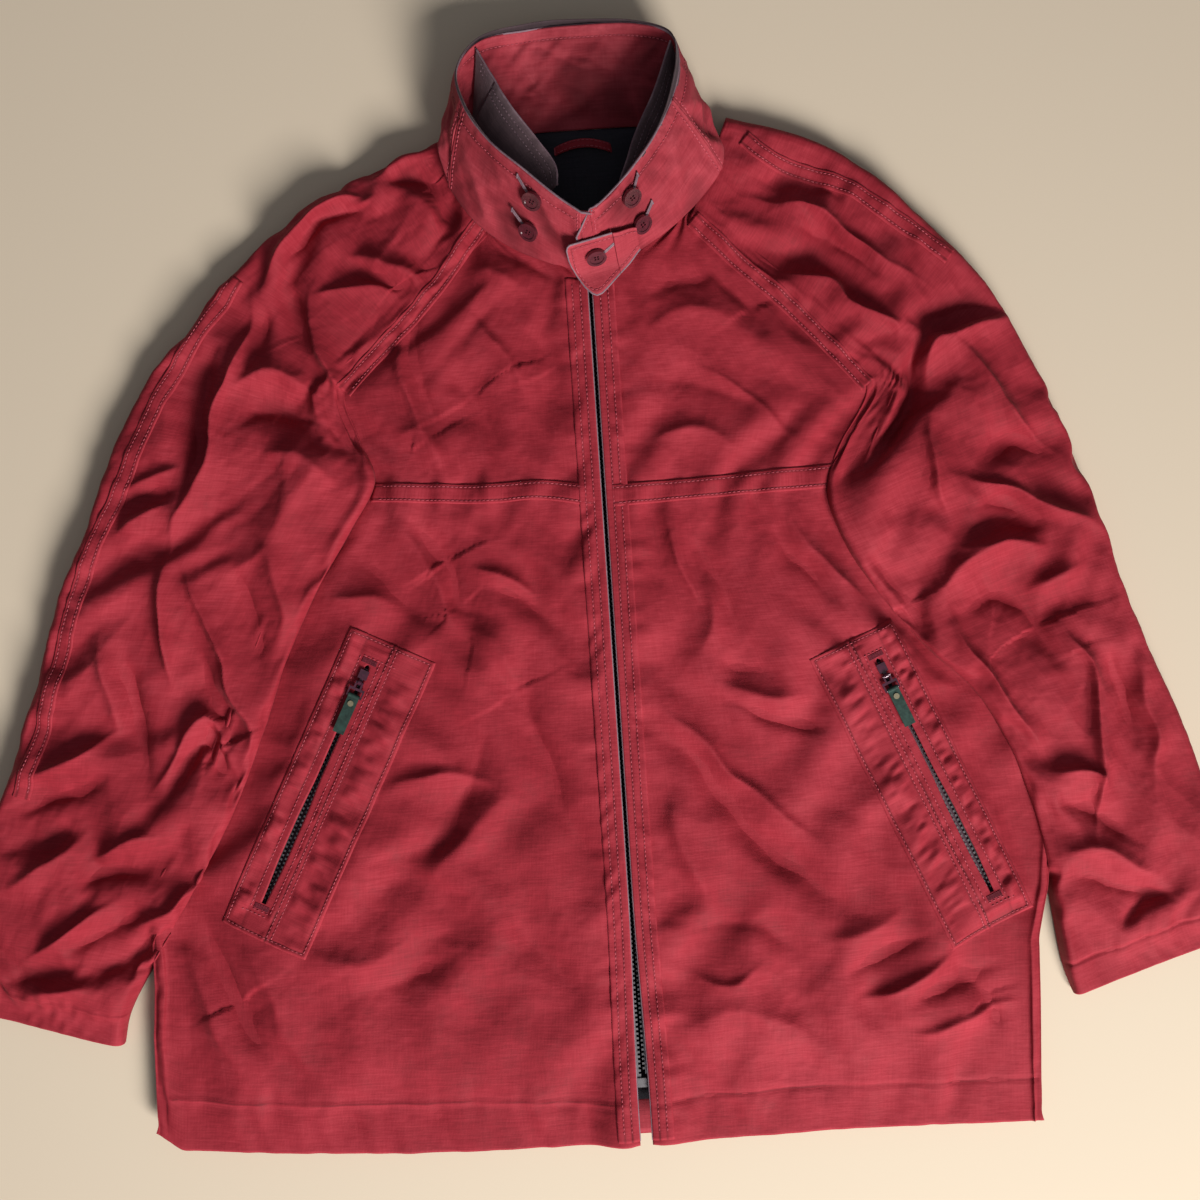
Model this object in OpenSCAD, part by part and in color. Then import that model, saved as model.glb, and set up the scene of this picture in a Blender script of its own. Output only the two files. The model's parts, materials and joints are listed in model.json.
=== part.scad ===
// Foul weather jacket, lying front up, zipped, collar standing at the front.
// Units mm. +Z up, +Y towards the collar, -X is the wearer's right side.

/* [Cloth] */
// Thickness of the shell cloth as drawn
cloth_t = 1.4; // [1:0.1:1.6]
// Height of the top of the front panels above the surface
front_z = 24; // [24:0.5:30]
// How far a side wall leans in from the edge to the top
slope_w = 14; // [10:1:16]
// Thickness of the linings
lining_t = 0.7; // [0.5:0.1:0.9]
// Thickness of the bands and patches sewn on top
trim_t = 1.2; // [0.8:0.1:1.2]

/* [Body] */
// Centre line of the front zip
zip_x = 23; // [22:0.5:24]
// Width of each placket beside the zip
placket_w = 17; // [16:1:18]
// Gap between the two placket edges
placket_gap = 4.4; // [4.4:0.1:5]
// Depth of the turned hem
hem_d = 30; // [24:1:32]
// Lower edge of the chest band
band_y = 61; // [55:1:65]
// Height of the chest band
band_h = 18; // [15:1:20]

/* [Cuffs] */
// Depth of both cuffs along the sleeve
cuff_d = 25; // [20:1:25]
// Width of the right cuff, laid flat
cuff_w_right = 112; // [105:1:114]
// Width of the left cuff, laid flat
cuff_w_left = 122; // [110:1:124]

/* [Front zip] */
// Top end of the front zip tapes
zip_top = 281; // [281:1:284]
// Bottom end of the front zip tapes
zip_bottom = -379; // [-380:1:-376]
// Where the front slider rests with the zip closed
slider_top = 267; // [266:0.5:267]
// Length of the front pull beyond its pin
pull_len = 18; // [14:1:18]

/* [Pockets] */
// Length of each pocket zip
pocket_zip_len = 200; // [190:1:200]
// Where the pocket slider rests along its zip, from the middle
pocket_slider = 88; // [80:1:88]
// Length of each pocket patch
patch_len = 244; // [236:1:248]
// Width of the patch on the outer side of the zip
patch_out = 24; // [20:1:26]
// Width of the patch on the inner side of the zip
patch_in = 46; // [40:1:50]
// Inner width of the pocket bag from the zip
bag_in = 92; // [70:1:95]
// Turn of the right pocket from upright
pocket_turn_right = 27.5; // [25:0.5:28]
// Turn of the left pocket from upright
pocket_turn_left = 22.5; // [20:0.5:24]
// Length of the green tab
tab_len = 30; // [24:1:30]
// Width of the green tab
tab_w = 8.6; // [7:0.1:9]

/* [Zip hardware] */
// Pitch of the zip teeth
tooth_pitch = 3.5; // [3.5:0.5:5]
// Length of a slider body
slider_len = 14; // [12:0.5:14]
// Radius of the pins that the pulls turn on
pin_r = 0.75; // [0.6:0.05:0.8]
// Running clearance round a pin
pin_fit = 0.06; // [0.03:0.01:0.08]

/* [Collar] */
// Thickness of the collar
collar_t = 2.4; // [1.8:0.1:2.6]
// Diameter of the buttons
button_d = 15; // [14:0.5:16]
// Height of the collar tab
collar_tab_h = 33; // [28:1:34]
// Reach of the collar tab from its hinge
collar_tab_w = 36; // [32:1:38]

/* [Hidden] */
$fn = 48;

// Levels of the layers
front_under = front_z - cloth_t;
lining_under = front_z - 9.8;
back_lining_z = cloth_t + 1.4;
bag_floor_z = lining_under + lining_t + 0.3;
trim_top = front_z + trim_t;
wall_foot = 2.2;
lining_hem_y = -388;
neck_front_y = 232;
reach = 500;
over = 60;

// Zip levels and widths
tooth_z = front_z - 4.5;
tooth_h = 2.4;
tooth_in = 0.8;
tooth_out = 3.8;
tape_t = 0.8;
tape_w = 11;
riser_w = 1.6;
riser_z = tooth_z + tape_t / 2;
plate_t = 1.1;
flange_in = tooth_out + 0.7;
slider_half = flange_in + 1;
lug_w = 2.6;
slot_w = placket_gap;
front_pin_z = trim_top + 1.3;
pocket_pin_z = trim_top + 2.4;
pin_back = 4;
arm_gap = 0.4;
arm_t = 1.3;
pull_t = 1.5;
link_len = 11;
eye_r = 1.75;

// Colours
red = [0.62, 0.17, 0.23];
red_light = [0.72, 0.25, 0.31];
red_deep = [0.52, 0.13, 0.19];
mauve = [0.38, 0.26, 0.30];
lining_col = [0.11, 0.10, 0.13];
gunmetal = [0.32, 0.31, 0.33];
enamel = [0.26, 0.10, 0.16];

// Edges in plan, each traced once and shared by the pieces on both sides of it
armpit_right = [-149, 91];
armpit_left = [192, 62];
sleeve_edge_right = curve([[-92, 346], [-126, 332], [-171, 313], [-227, 276], [-285, 218], [-331, 160],
    [-363, 98], [-403, 3], [-437, -95], [-468, -180], [-478, -236], [-473, -265]]);
sleeve_edge_left = curve([[145, 352], [173, 346], [215, 319], [258, 292], [300, 243], [336, 197],
    [366, 129], [395, 45], [420, -48], [453, -131], [473, -210], [477, -248], [469, -272]]);
sleeve_inner_right = curve([[-364, -299], [-351, -278], [-331, -241], [-300, -198], [-268, -143],
    [-247, -95], [-229, -48], [-208, -5], [-183, 32], [-165, 64], armpit_right]);
sleeve_inner_left = curve([[350, -308], [347, -284], [341, -250], [338, -215], [328, -170],
    [311, -124], [289, -90], [261, -62], [234, -28], [211, 5], [199, 34], armpit_left]);
side_right = concat(curve([[-346, -392], [-345, -330], [-341, -285]]),
    shift(tail(sleeve_inner_right, 8), 2, -2));
side_left = concat(curve([[323, -426], [329, -340], [331, -285]]),
    shift(tail(sleeve_inner_left, 8), -3, -2));
raglan_right = curve([armpit_right, [-158, 128], [-168, 159], [-148, 180], [-123, 203], [-91, 236],
    [-61, 269]]);
raglan_left = curve([armpit_left, [203, 95], [228, 138], [202, 169], [174, 201], [138, 236],
    [110, 268]]);
back_raglan_right = curve([armpit_right, [-128, 180], [-92, 270], [-62, 350]]);
back_raglan_left = curve([armpit_left, [176, 160], [144, 255], [112, 350]]);
neck_right = [[-61, 269], [-34, 257], [-8, 246], [18, 238]];
neck_left = [[110, 268], [82, 256], [54, 246], [28, 238]];
neck_side_right = [[-88, 331], [-84, 310], [-61, 269]];
neck_side_left = [[140, 336], [134, 310], [110, 268]];
hem_right = curve([[-346, -392], [-327, -404], [-242, -411], [-150, -416], [-60, -419],
    [zip_x, -422]]);
hem_left = curve([[zip_x, -422], [103, -420], [180, -419], [257, -422], [323, -426]]);

// Stations of the collar round the neck, foot and top edge
collar_foot_z = front_z + 0.6;
collar_foot = [[18.5, 238, collar_foot_z], [-5, 246, collar_foot_z], [-33, 259, collar_foot_z],
    [-60, 281, collar_foot_z], [-78, 309, collar_foot_z], [-79, 332, 20], [-60, 346, 10],
    [-20, 350, 6], [26, 351, 5.5], [72, 350, 6], [112, 346, 10], [129, 332, 20],
    [128, 309, collar_foot_z], [107, 283, collar_foot_z], [80, 262, collar_foot_z],
    [52, 246, collar_foot_z], [27.5, 238, collar_foot_z]];
collar_edge = [[19.5, 268, 79], [2, 282, 78], [-20, 303, 76], [-44, 327, 71], [-61, 356, 62],
    [-66, 388, 48], [-48, 414, 32], [-10, 423, 23], [26, 425, 21], [68, 423, 23], [96, 410, 32],
    [100, 382, 48], [92, 352, 60], [76, 322, 69], [58, 298, 75], [42, 281, 78], [26.5, 268, 79]];
seam_station_right = 4;
seam_station_left = 12;
collar_bulge = 3;
storm_foot_right = [[-50, 344, 13], [-70, 330, 22], [-69, 308, 27], [-52, 286, 28], [-31, 271, 29]];
storm_edge_right = [[-47, 394, 38], [-28, 362, 46], [-10, 334, 50], [3, 312, 52], [4, 296, 56]];
storm_foot_left = [[102, 344, 13], [120, 330, 22], [119, 308, 27], [99, 287, 28], [76, 271, 29]];
storm_edge_left = [[88, 392, 38], [80, 364, 46], [65, 335, 50], [56, 312, 52], [50, 295, 56]];
storm_t = 1.6;

// Placing of the collar tab: its plane leans back like the front of the collar
tab_foot = [zip_x + 14, 239, collar_foot_z];
tab_lean = 60;
tab_turn = 12;
tab_hinge_u = 9;
tab_mid_n = 4.8;
tab_t = 2;

pocket_mid_right = [-208, -134, 0];
pocket_mid_left = [258, -158, 0];
cuff_mid_right = [-425.5, -307, 0];
cuff_turn_right = -17.3;
cuff_mid_left = [416.5, -315, 0];
cuff_turn_left = 16.8;

// Smooth line through a few points, four steps to each
function curve(p, n = 4) = concat([for (i = [0:len(p) - 2]) for (j = [0:n - 1]) along(p, i + j / n)],
    [p[len(p) - 1]]);
function along(p, s) = let (
        i = min(floor(s), len(p) - 2),
        t = s - i,
        a = p[max(i - 1, 0)],
        b = p[i],
        c = p[i + 1],
        d = p[min(i + 2, len(p) - 1)])
    0.5 * (2 * b + (c - a) * t + (2 * a - 5 * b + 4 * c - d) * t * t + (3 * b - a - 3 * c + d) * t * t * t);
function shift(p, dx, dy) = [for (q = p) q + [dx, dy]];
function tail(p, from) = [for (i = [from:len(p) - 1]) p[i]];
function flipped(p) = [for (i = [len(p) - 1:-1:0]) p[i]];
function unit(v) = v / norm(v);
// A line moved sideways, to its left when d is positive
function inset(p, d) = [for (i = [0:len(p) - 1]) let (
        v = unit(p[min(i + 1, len(p) - 1)] - p[max(i - 1, 0)]))
    p[i] + d * [-v[1], v[0]]];

// Closed tube through rings that all have the same number of points
module loft(rings) {
    n = len(rings);
    m = len(rings[0]);
    sides = [for (i = [0:n - 2]) for (j = [0:m - 1]) let (k = (j + 1) % m)
        each [[i * m + k, i * m + j, (i + 1) * m + k], [(i + 1) * m + k, i * m + j, (i + 1) * m + j]]];
    last = (n - 1) * m;
    ends = [for (j = [0:m / 2 - 2]) let (a = j, b = j + 1, c = m - 2 - j, d = m - 1 - j)
        each [[a, b, d], [b, c, d], [last + b, last + a, last + d], [last + c, last + b, last + d]]];
    polyhedron(points = [for (r = rings) each r], faces = concat(sides, ends));
}

// Leaning wall along an edge, up to the side of the top sheet; side is 1 when the inside is to the left
module wall(edge, side) {
    foot = inset(edge, side * wall_foot);
    top = inset(edge, side * slope_w);
    rings = [for (i = [0:len(edge) - 1]) [
        [edge[i][0], edge[i][1], cloth_t],
        [top[i][0], top[i][1], front_z],
        [top[i][0], top[i][1], front_under],
        [foot[i][0], foot[i][1], cloth_t]]];
    loft(side > 0 ? [for (r = rings) flipped(r)] : rings);
}

module sheet(points, z, t) {
    translate([0, 0, z]) linear_extrude(t) polygon(points);
}

module region_above(y) {
    translate([-reach, y]) square(2 * reach);
}

module region_below(y) {
    translate([-reach, y - 2 * reach]) square(2 * reach);
}

// Strip beside the zip, on the wearer's right (side -1) or left (side 1)
module beside_zip(side, from, width) {
    x0 = side > 0 ? zip_x + from : zip_x - from - width;
    translate([x0, -reach]) square([width, 2 * reach]);
}

front_outline_right = concat(hem_right, flipped(neck_right), flipped(raglan_right),
    flipped(inset(side_right, -slope_w)));
front_outline_left = concat(flipped(hem_left), flipped(neck_left), flipped(raglan_left),
    flipped(inset(side_left, slope_w)));
back_outline = concat(hem_right, hem_left, side_left, back_raglan_left,
    flipped(back_raglan_right), flipped(side_right));
placket_out = placket_gap / 2 + placket_w;

module front_2d(side) {
    difference() {
        polygon(side < 0 ? front_outline_right : front_outline_left);
        beside_zip(side, -over, over + placket_out);
    }
}

module hem_zone(side, depth) {
    line = shift(side < 0 ? hem_right : hem_left, 0, depth);
    x0 = side < 0 ? -reach : zip_x;
    x1 = side < 0 ? zip_x : reach;
    y0 = line[0][1];
    y1 = line[len(line) - 1][1];
    polygon(concat([[x1, -reach], [x1, y1]], flipped(line), [[x0, y0], [x0, -reach]]));
}

module front_upper(side) {
    translate([0, 0, front_under]) linear_extrude(cloth_t) intersection() {
        front_2d(side);
        region_above(band_y + band_h / 2);
    }
}

module front_lower(side) {
    difference() {
        translate([0, 0, front_under]) linear_extrude(cloth_t) difference() {
            intersection() {
                front_2d(side);
                region_below(band_y + band_h / 2);
            }
            hem_zone(side, hem_d);
        }
        at_pocket(side) zip_slot();
    }
}

module hem_front(side) {
    translate([0, 0, front_under - cloth_t]) linear_extrude(2 * cloth_t) intersection() {
        front_2d(side);
        hem_zone(side, hem_d);
    }
}

module chest_band(side) {
    inner = placket_gap / 2;
    translate([0, 0, front_z]) linear_extrude(trim_t) intersection() {
        polygon(side < 0 ? front_outline_right : front_outline_left);
        region_above(band_y);
        region_below(band_y + band_h);
        beside_zip(side, inner, reach);
    }
}

// Front edge band; its rib under the outer side carries the zip tape
module placket(side) {
    inner = placket_gap / 2;
    translate([0, 0, front_under]) linear_extrude(cloth_t) intersection() {
        polygon(side < 0 ? front_outline_right : front_outline_left);
        beside_zip(side, inner, placket_w);
    }
    translate([0, 0, riser_z]) linear_extrude(front_under - riser_z) intersection() {
        beside_zip(side, tooth_out + tape_w - riser_w, riser_w);
        region_above(zip_bottom);
        region_below(neck_front_y);
    }
}

module side_seam(side) {
    wall(side < 0 ? side_right : side_left, side);
}

module sleeve_outer_seam(side) {
    wall(side < 0 ? sleeve_edge_right : sleeve_edge_left, -side);
}

module sleeve_inner_seam(side) {
    wall(side < 0 ? sleeve_inner_right : sleeve_inner_left, -side);
}

function sleeve_top_outline(side) = side < 0
    ? concat(inset(sleeve_edge_right, slope_w), inset(sleeve_inner_right, slope_w), raglan_right,
        flipped(neck_side_right))
    : concat(inset(sleeve_edge_left, -slope_w), inset(sleeve_inner_left, -slope_w), raglan_left,
        flipped(neck_side_left));

module sleeve_front(side) {
    sheet(sleeve_top_outline(side), front_under, cloth_t);
}

module sleeve_back(side) {
    if (side < 0)
        sheet(concat(sleeve_edge_right, sleeve_inner_right, back_raglan_right), 0, cloth_t);
    else
        sheet(concat(sleeve_edge_left, sleeve_inner_left, back_raglan_left), 0, cloth_t);
}

module back_panel() {
    color(red) sheet(back_outline, 0, cloth_t);
}

// Turned hem of the back, inside
module hem_back() {
    color(red_deep) translate([0, 0, cloth_t]) linear_extrude(cloth_t) intersection() {
        polygon(concat(hem_right, hem_left, inset(side_left, 6), flipped(inset(side_right, -6))));
        union() {
            hem_zone(-1, hem_d);
            hem_zone(1, hem_d);
        }
    }
}

module back_lining() {
    color(lining_col) translate([0, 0, back_lining_z]) linear_extrude(lining_t) difference() {
        polygon(concat(inset(side_left, slope_w), [[128, 180], [128, 300], [100, 343],
            [-48, 343], [-74, 300], [-80, 180]], flipped(inset(side_right, -slope_w))));
        region_below(lining_hem_y - 4);
    }
}

module front_lining(side) {
    color(lining_col) translate([0, 0, lining_under]) linear_extrude(lining_t) difference() {
        intersection() {
            polygon(side < 0 ? front_outline_right : front_outline_left);
            region_above(lining_hem_y);
            region_below(neck_front_y);
        }
        beside_zip(side, -over, over + placket_out + 3);
    }
}

// Strap of the hanger, standing off the lining so that a hook passes under it
module hanger_loop() {
    hang_x = 3;
    hang_w = 44;
    hang_gap = 6;
    color(red_light) translate([hang_x, 332, back_lining_z + lining_t]) difference() {
        cube([hang_w, 7, hang_gap + 1.2]);
        translate([4, -1, 0]) cube([hang_w - 8, 9, hang_gap]);
    }
}

module cuff(side) {
    mid = side < 0 ? cuff_mid_right : cuff_mid_left;
    turn = side < 0 ? cuff_turn_right : cuff_turn_left;
    half = (side < 0 ? cuff_w_right : cuff_w_left) / 2;
    lean = slope_w * cloth_t / front_z;
    length = cuff_d - 1;
    color(red_deep) translate(mid) rotate([0, 0, turn]) translate([0, length, 0]) rotate([90, 0, 0])
        linear_extrude(length) difference() {
            polygon([[-half, 0], [half, 0], [half - slope_w, front_z], [slope_w - half, front_z]]);
            polygon([[2 - half + lean, cloth_t], [half - 2 - lean, cloth_t],
                [half - slope_w - 2, front_under], [slope_w - half + 2, front_under]]);
        }
}

// Collar surface
function collar_foot_at(s) = along(collar_foot, s);
function collar_edge_at(s) = along(collar_edge, s);
function collar_dir_at(s) = let (d = 0.05)
    unit((collar_foot_at(min(s + d, 16)) + collar_edge_at(min(s + d, 16)))
        - (collar_foot_at(max(s - d, 0)) + collar_edge_at(max(s - d, 0))));
function collar_normal(s) = unit(cross(collar_edge_at(s) - collar_foot_at(s), collar_dir_at(s)));
function collar_at(s, v, out) = collar_foot_at(s) * (1 - v) + collar_edge_at(s) * v
    + collar_normal(s) * (out + collar_bulge * 4 * v * (1 - v));

module collar_piece(from, to) {
    steps = 3 * (to - from);
    rows = [0, 0.35, 0.7, 1];
    loft([for (i = [0:steps]) let (s = from + (to - from) * i / steps)
        concat([for (v = rows) collar_at(s, v, 0)], [for (v = flipped(rows)) collar_at(s, v, -collar_t)])]);
}

// Inner storm collar flap between its foot and its free edge
module storm_collar(foot, edge, side) {
    f = curve(foot, 3);
    e = curve(edge, 3);
    drop = [0, 0, -storm_t];
    mids = [for (i = [0:len(f) - 1]) (f[i] + e[i]) / 2 + [side * 5, 0, 5]];
    rings = [for (i = [0:len(f) - 1]) [f[i], mids[i], e[i], e[i] + drop, mids[i] + drop, f[i] + drop]];
    color(mauve) loft(side < 0 ? [for (r = rings) flipped(r)] : rings);
}

module four_hole_button(d) {
    hole_r = 0.8;
    hole_at = 1.6;
    rim_t = 2.6;
    difference() {
        union() {
            cylinder(d = d, h = rim_t - 0.7);
            difference() {
                cylinder(d = d, h = rim_t);
                cylinder(d = d - 4, h = rim_t + 1);
            }
        }
        for (a = [0:90:270]) rotate([0, 0, a + 45]) translate([hole_at, 0, -1]) cylinder(r = hole_r, h = 5);
    }
    translate([0, 0, -1.1]) cylinder(d = 4, h = 1.1, $fn = 24);
}

module on_collar(s, v) {
    n = collar_normal(s);
    translate(collar_at(s, v, 1.2))
        rotate([0, acos(n[2]), atan2(n[1], n[0])]) children();
}

module collar_buttons() {
    color([0.28, 0.07, 0.10])
        for (s = [1.6, 14.4]) for (v = [0.38, 0.78]) on_collar(s, v) four_hole_button(button_d);
}

// Frame of the collar tab: x across, y up the slope of the collar, z out of it
module at_tab() {
    translate(tab_foot) rotate([tab_lean, 0, tab_turn]) children();
}

module collar_tab() {
    foot_s = 7;
    end_r = 5;
    hinge_top = foot_s + 3 + collar_tab_h * 0.8;
    end_u = tab_hinge_u - collar_tab_w;
    end_s = foot_s + collar_tab_h;
    color(red_light) at_tab() translate([0, 0, tab_mid_n - tab_t / 2]) linear_extrude(tab_t)
        polygon([[tab_hinge_u - 1, foot_s + 3], [0, foot_s], [end_u + 10, foot_s + 4], [end_u, foot_s + 14],
            [end_u, end_s - end_r], [end_u + end_r * 0.3, end_s - end_r * 0.3], [end_u + end_r, end_s],
            [tab_hinge_u - 1, hinge_top]]);
}

module tab_button() {
    color([0.28, 0.07, 0.10]) at_tab() translate([-7, 24, tab_mid_n + tab_t / 2 + 1.1])
        four_hole_button(button_d);
}

// Zip pieces, along y with the middle of the teeth at tooth_z
module zip_slot() {
    half = pocket_zip_len / 2 - 2;
    translate([0, 0, front_under - 3]) linear_extrude(12) union() {
        translate([-slot_w / 2, -half + slot_w / 2]) square([slot_w, 2 * half - slot_w]);
        for (y = [-1, 1]) translate([0, y * (half - slot_w / 2)]) circle(slot_w / 2);
    }
}

// One row of teeth on a bead, on the -x side; offset moves the teeth by half a pitch
module teeth_row(y0, y1, offset) {
    bead = 1.3;
    tooth_w = tooth_pitch * 0.45;
    count = floor((y1 - y0 - tooth_pitch) / tooth_pitch);
    inner = [for (i = [0:count - 1]) let (y = y0 + (i + 0.5 + offset) * tooth_pitch)
        each [[-tooth_out + bead, y], [-tooth_in, y], [-tooth_in, y + tooth_w],
            [-tooth_out + bead, y + tooth_w]]];
    translate([0, 0, tooth_z - tooth_h / 2]) linear_extrude(tooth_h)
        polygon(concat([[-tooth_out, y0], [-tooth_out + bead, y0]], inner,
            [[-tooth_out + bead, y1], [-tooth_out, y1]]));
}

module tape_pair(y0, y1) {
    for (m = [0, 1]) mirror([m, 0, 0])
        translate([tooth_out, y0, tooth_z - tape_t / 2]) cube([tape_w, y1 - y0, tape_t]);
}

// Slider centred on its own middle; pin_z is the height of the pull's pin
module slider(pin_z) {
    z0 = tooth_z - tooth_h / 2 - 0.3 - plate_t;
    z1 = tooth_z + tooth_h / 2 + 0.3;
    plate_top = z1 + plate_t;
    flange_h = (z1 - z0 - plate_t) / 2 - tape_t / 2 - 0.4;
    lug_l = 8;
    crown_w = 7;
    ear_r = 1.9;
    half_l = slider_len / 2;
    difference() {
        union() {
            for (z = [z0, z1]) translate([-slider_half, -half_l, z])
                cube([2 * slider_half, slider_len, plate_t]);
            for (m = [0, 1]) mirror([m, 0, 0]) {
                translate([flange_in, -half_l, z0 + plate_t]) cube([1, slider_len, flange_h]);
                translate([flange_in, -half_l, z1 - flange_h]) cube([1, slider_len, flange_h]);
            }
            translate([-0.4, half_l - 5, z0 + plate_t]) cube([0.8, 4, z1 - z0 - plate_t]);
            translate([-lug_w / 2, -pin_back, plate_top])
                cube([lug_w, lug_l, trim_top + 1.4 - plate_top]);
            translate([-lug_w / 2, -pin_back - ear_r, plate_top])
                cube([lug_w, 2 * ear_r, pin_z - plate_top]);
            translate([-lug_w / 2, -pin_back, pin_z]) rotate([0, 90, 0]) cylinder(r = ear_r, h = lug_w);
            translate([-crown_w / 2, -1, trim_top + 0.4]) cube([crown_w, half_l, 1.2]);
        }
        translate([-5, -pin_back, pin_z]) rotate([0, 90, 0]) cylinder(r = pin_r + pin_fit, h = 10);
    }
}

// Pull lying along -y from its pin, with the pin through the slider's ear
module pull_fork(pin_z, length, width) {
    arm_in = lug_w / 2 + arm_gap;
    arm_reach = 4.5;
    translate([-arm_in - arm_t, -pin_back, pin_z]) rotate([0, 90, 0])
        cylinder(r = pin_r, h = 2 * (arm_in + arm_t));
    for (m = [0, 1]) mirror([m, 0, 0]) {
        translate([arm_in, -pin_back - arm_reach, pin_z - pull_t / 2]) cube([arm_t, arm_reach, pull_t]);
        translate([arm_in, -pin_back, pin_z]) rotate([0, 90, 0]) cylinder(r = pull_t / 2 + 0.3, h = arm_t);
    }
    translate([-width / 2, -pin_back - length, pin_z - pull_t / 2])
        cube([width, length - arm_reach, pull_t]);
}

module front_zip_pull() {
    hole_w = 3;
    color(gunmetal) translate([zip_x, slider_top, 0]) difference() {
        pull_fork(front_pin_z, pull_len, 6);
        translate([-hole_w / 2, -pin_back - pull_len + 2.5, 0]) cube([hole_w, pull_len - 9, 60]);
    }
}

module front_zip_slider() {
    color(gunmetal) translate([zip_x, slider_top, 0]) slider(front_pin_z);
}

module at_pocket(side) {
    if (side < 0)
        translate(pocket_mid_right) rotate([0, 0, -pocket_turn_right]) children();
    else
        translate(pocket_mid_left) rotate([0, 0, pocket_turn_left]) mirror([1, 0, 0]) children();
}

module pocket_patch(side) {
    color(red_light) at_pocket(side) difference() {
        translate([-patch_out, -patch_len / 2 - 2, front_z])
            cube([patch_out + patch_in, patch_len, trim_t]);
        zip_slot();
    }
}

module pocket_zip_tapes(side) {
    half = pocket_zip_len / 2;
    color(lining_col) at_pocket(side) {
        tape_pair(-half, half);
        for (m = [0, 1]) mirror([m, 0, 0])
            translate([tooth_out + tape_w - riser_w, -half, tooth_z + tape_t / 2])
                cube([riser_w, 2 * half, front_under - tooth_z - tape_t / 2]);
    }
}

module pocket_zip_teeth(side) {
    half = pocket_zip_len / 2 - 3;
    color(gunmetal) at_pocket(side) {
        teeth_row(-half, half, 0);
        mirror([1, 0, 0]) teeth_row(-half, half, 0.5);
    }
}

// Bag hanging under the pocket, open upwards to the zip
module pocket_bag(side) {
    bag_out = 16;
    bag_t = 0.8;
    half = pocket_zip_len / 2 + 2;
    color(mauve) at_pocket(side) difference() {
        translate([-bag_out, -half, bag_floor_z])
            cube([bag_out + bag_in, 2 * half, front_under - bag_floor_z]);
        translate([bag_t - bag_out, bag_t - half, bag_floor_z + bag_t])
            cube([bag_out + bag_in - 2 * bag_t, 2 * half - 2 * bag_t, 20]);
    }
}

module pocket_slider_node(side) {
    color(enamel) at_pocket(side) translate([0, pocket_slider, 0]) slider(pocket_pin_z);
}

// Short pull with a cross bar at its end for the green tab
module pocket_pull(side) {
    bar_half = tab_w / 2 + 0.6;
    rail_t = 1.1;
    color(enamel) at_pocket(side) translate([0, pocket_slider, 0]) {
        pull_fork(pocket_pin_z, 6.4, 2 * (bar_half + rail_t));
        for (m = [0, 1]) mirror([m, 0, 0])
            translate([bar_half, -pin_back - link_len - 0.9, pocket_pin_z - pull_t / 2])
                cube([rail_t, link_len - 5.5, pull_t]);
        translate([-bar_half - 0.5, -pin_back - link_len, pocket_pin_z]) rotate([0, 90, 0])
            cylinder(r = pin_r, h = 2 * bar_half + 1);
    }
}

module pocket_tab(side) {
    strip_t = 1.8;
    rivet_hole = 1.3;
    color([0.12, 0.28, 0.23]) at_pocket(side)
        translate([0, pocket_slider - pin_back - link_len, pocket_pin_z]) difference() {
            union() {
                translate([-tab_w / 2, 0, 0]) rotate([0, 90, 0]) cylinder(r = eye_r, h = tab_w);
                translate([-tab_w / 2, -tab_len, -strip_t / 2]) cube([tab_w, tab_len, strip_t]);
            }
            translate([-10, 0, 0]) rotate([0, 90, 0]) cylinder(r = pin_r + pin_fit, h = 20);
            translate([0, -6, -5]) cylinder(r = rivet_hole, h = 10);
        }
}

module pocket_rivet(side) {
    head_r = 2.2;
    shank_r = 1.3;
    strip_t = 1.8;
    color([0.75, 0.68, 0.50]) at_pocket(side)
        translate([0, pocket_slider - pin_back - link_len - 6, pocket_pin_z]) {
            translate([0, 0, -strip_t / 2]) cylinder(r = shank_r, h = strip_t);
            translate([0, 0, strip_t / 2]) cylinder(r = head_r, h = 0.7);
            translate([0, 0, -strip_t / 2 - 0.4]) cylinder(r = head_r, h = 0.4);
        }
}

module front_zip_tapes() {
    color(lining_col) translate([zip_x, 0, 0]) tape_pair(zip_bottom, zip_top);
}

teeth_top = zip_top - 6;
teeth_bottom = zip_bottom + 10;

module front_zip_teeth_right() {
    color(gunmetal) translate([zip_x, 0, 0]) teeth_row(teeth_bottom, teeth_top, 0);
}

module front_zip_teeth_left() {
    color(gunmetal) translate([zip_x, 0, 0]) mirror([1, 0, 0]) teeth_row(teeth_bottom, teeth_top, 0.5);
}

// Stops clamped on the tapes above the slider
module front_zip_stops() {
    color(gunmetal) translate([zip_x, teeth_top, 0]) for (m = [0, 1]) mirror([m, 0, 0])
        translate([1.2, 0, tooth_z - tooth_h / 2]) cube([2.6, 4, tooth_h]);
}

// Retaining box on the left tape; the pin on the right tape stands in it
box_h = 4;
box_gap = 0.15;
pin_out = 2.8;
zip_pin_w = 2;
zip_pin_h = 1.8;
module front_zip_box() {
    color(gunmetal) translate([zip_x, zip_bottom, tooth_z - box_h / 2]) difference() {
        translate([-tooth_out, 0, 0]) cube([2 * tooth_out, 7, box_h]);
        translate([-pin_out - box_gap, 1, (box_h - zip_pin_h) / 2 - box_gap])
            cube([zip_pin_w + 2 * box_gap, 10, zip_pin_h + 2 * box_gap]);
    }
}

module front_zip_pin() {
    clip_l = 2.6;
    color(gunmetal) translate([zip_x - pin_out, zip_bottom + 1.2, tooth_z - zip_pin_h / 2]) {
        cube([zip_pin_w, 8.8, zip_pin_h]);
        translate([-1, 8.8 - clip_l, 0]) cube([1, clip_l, zip_pin_h]);
    }
}

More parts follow.
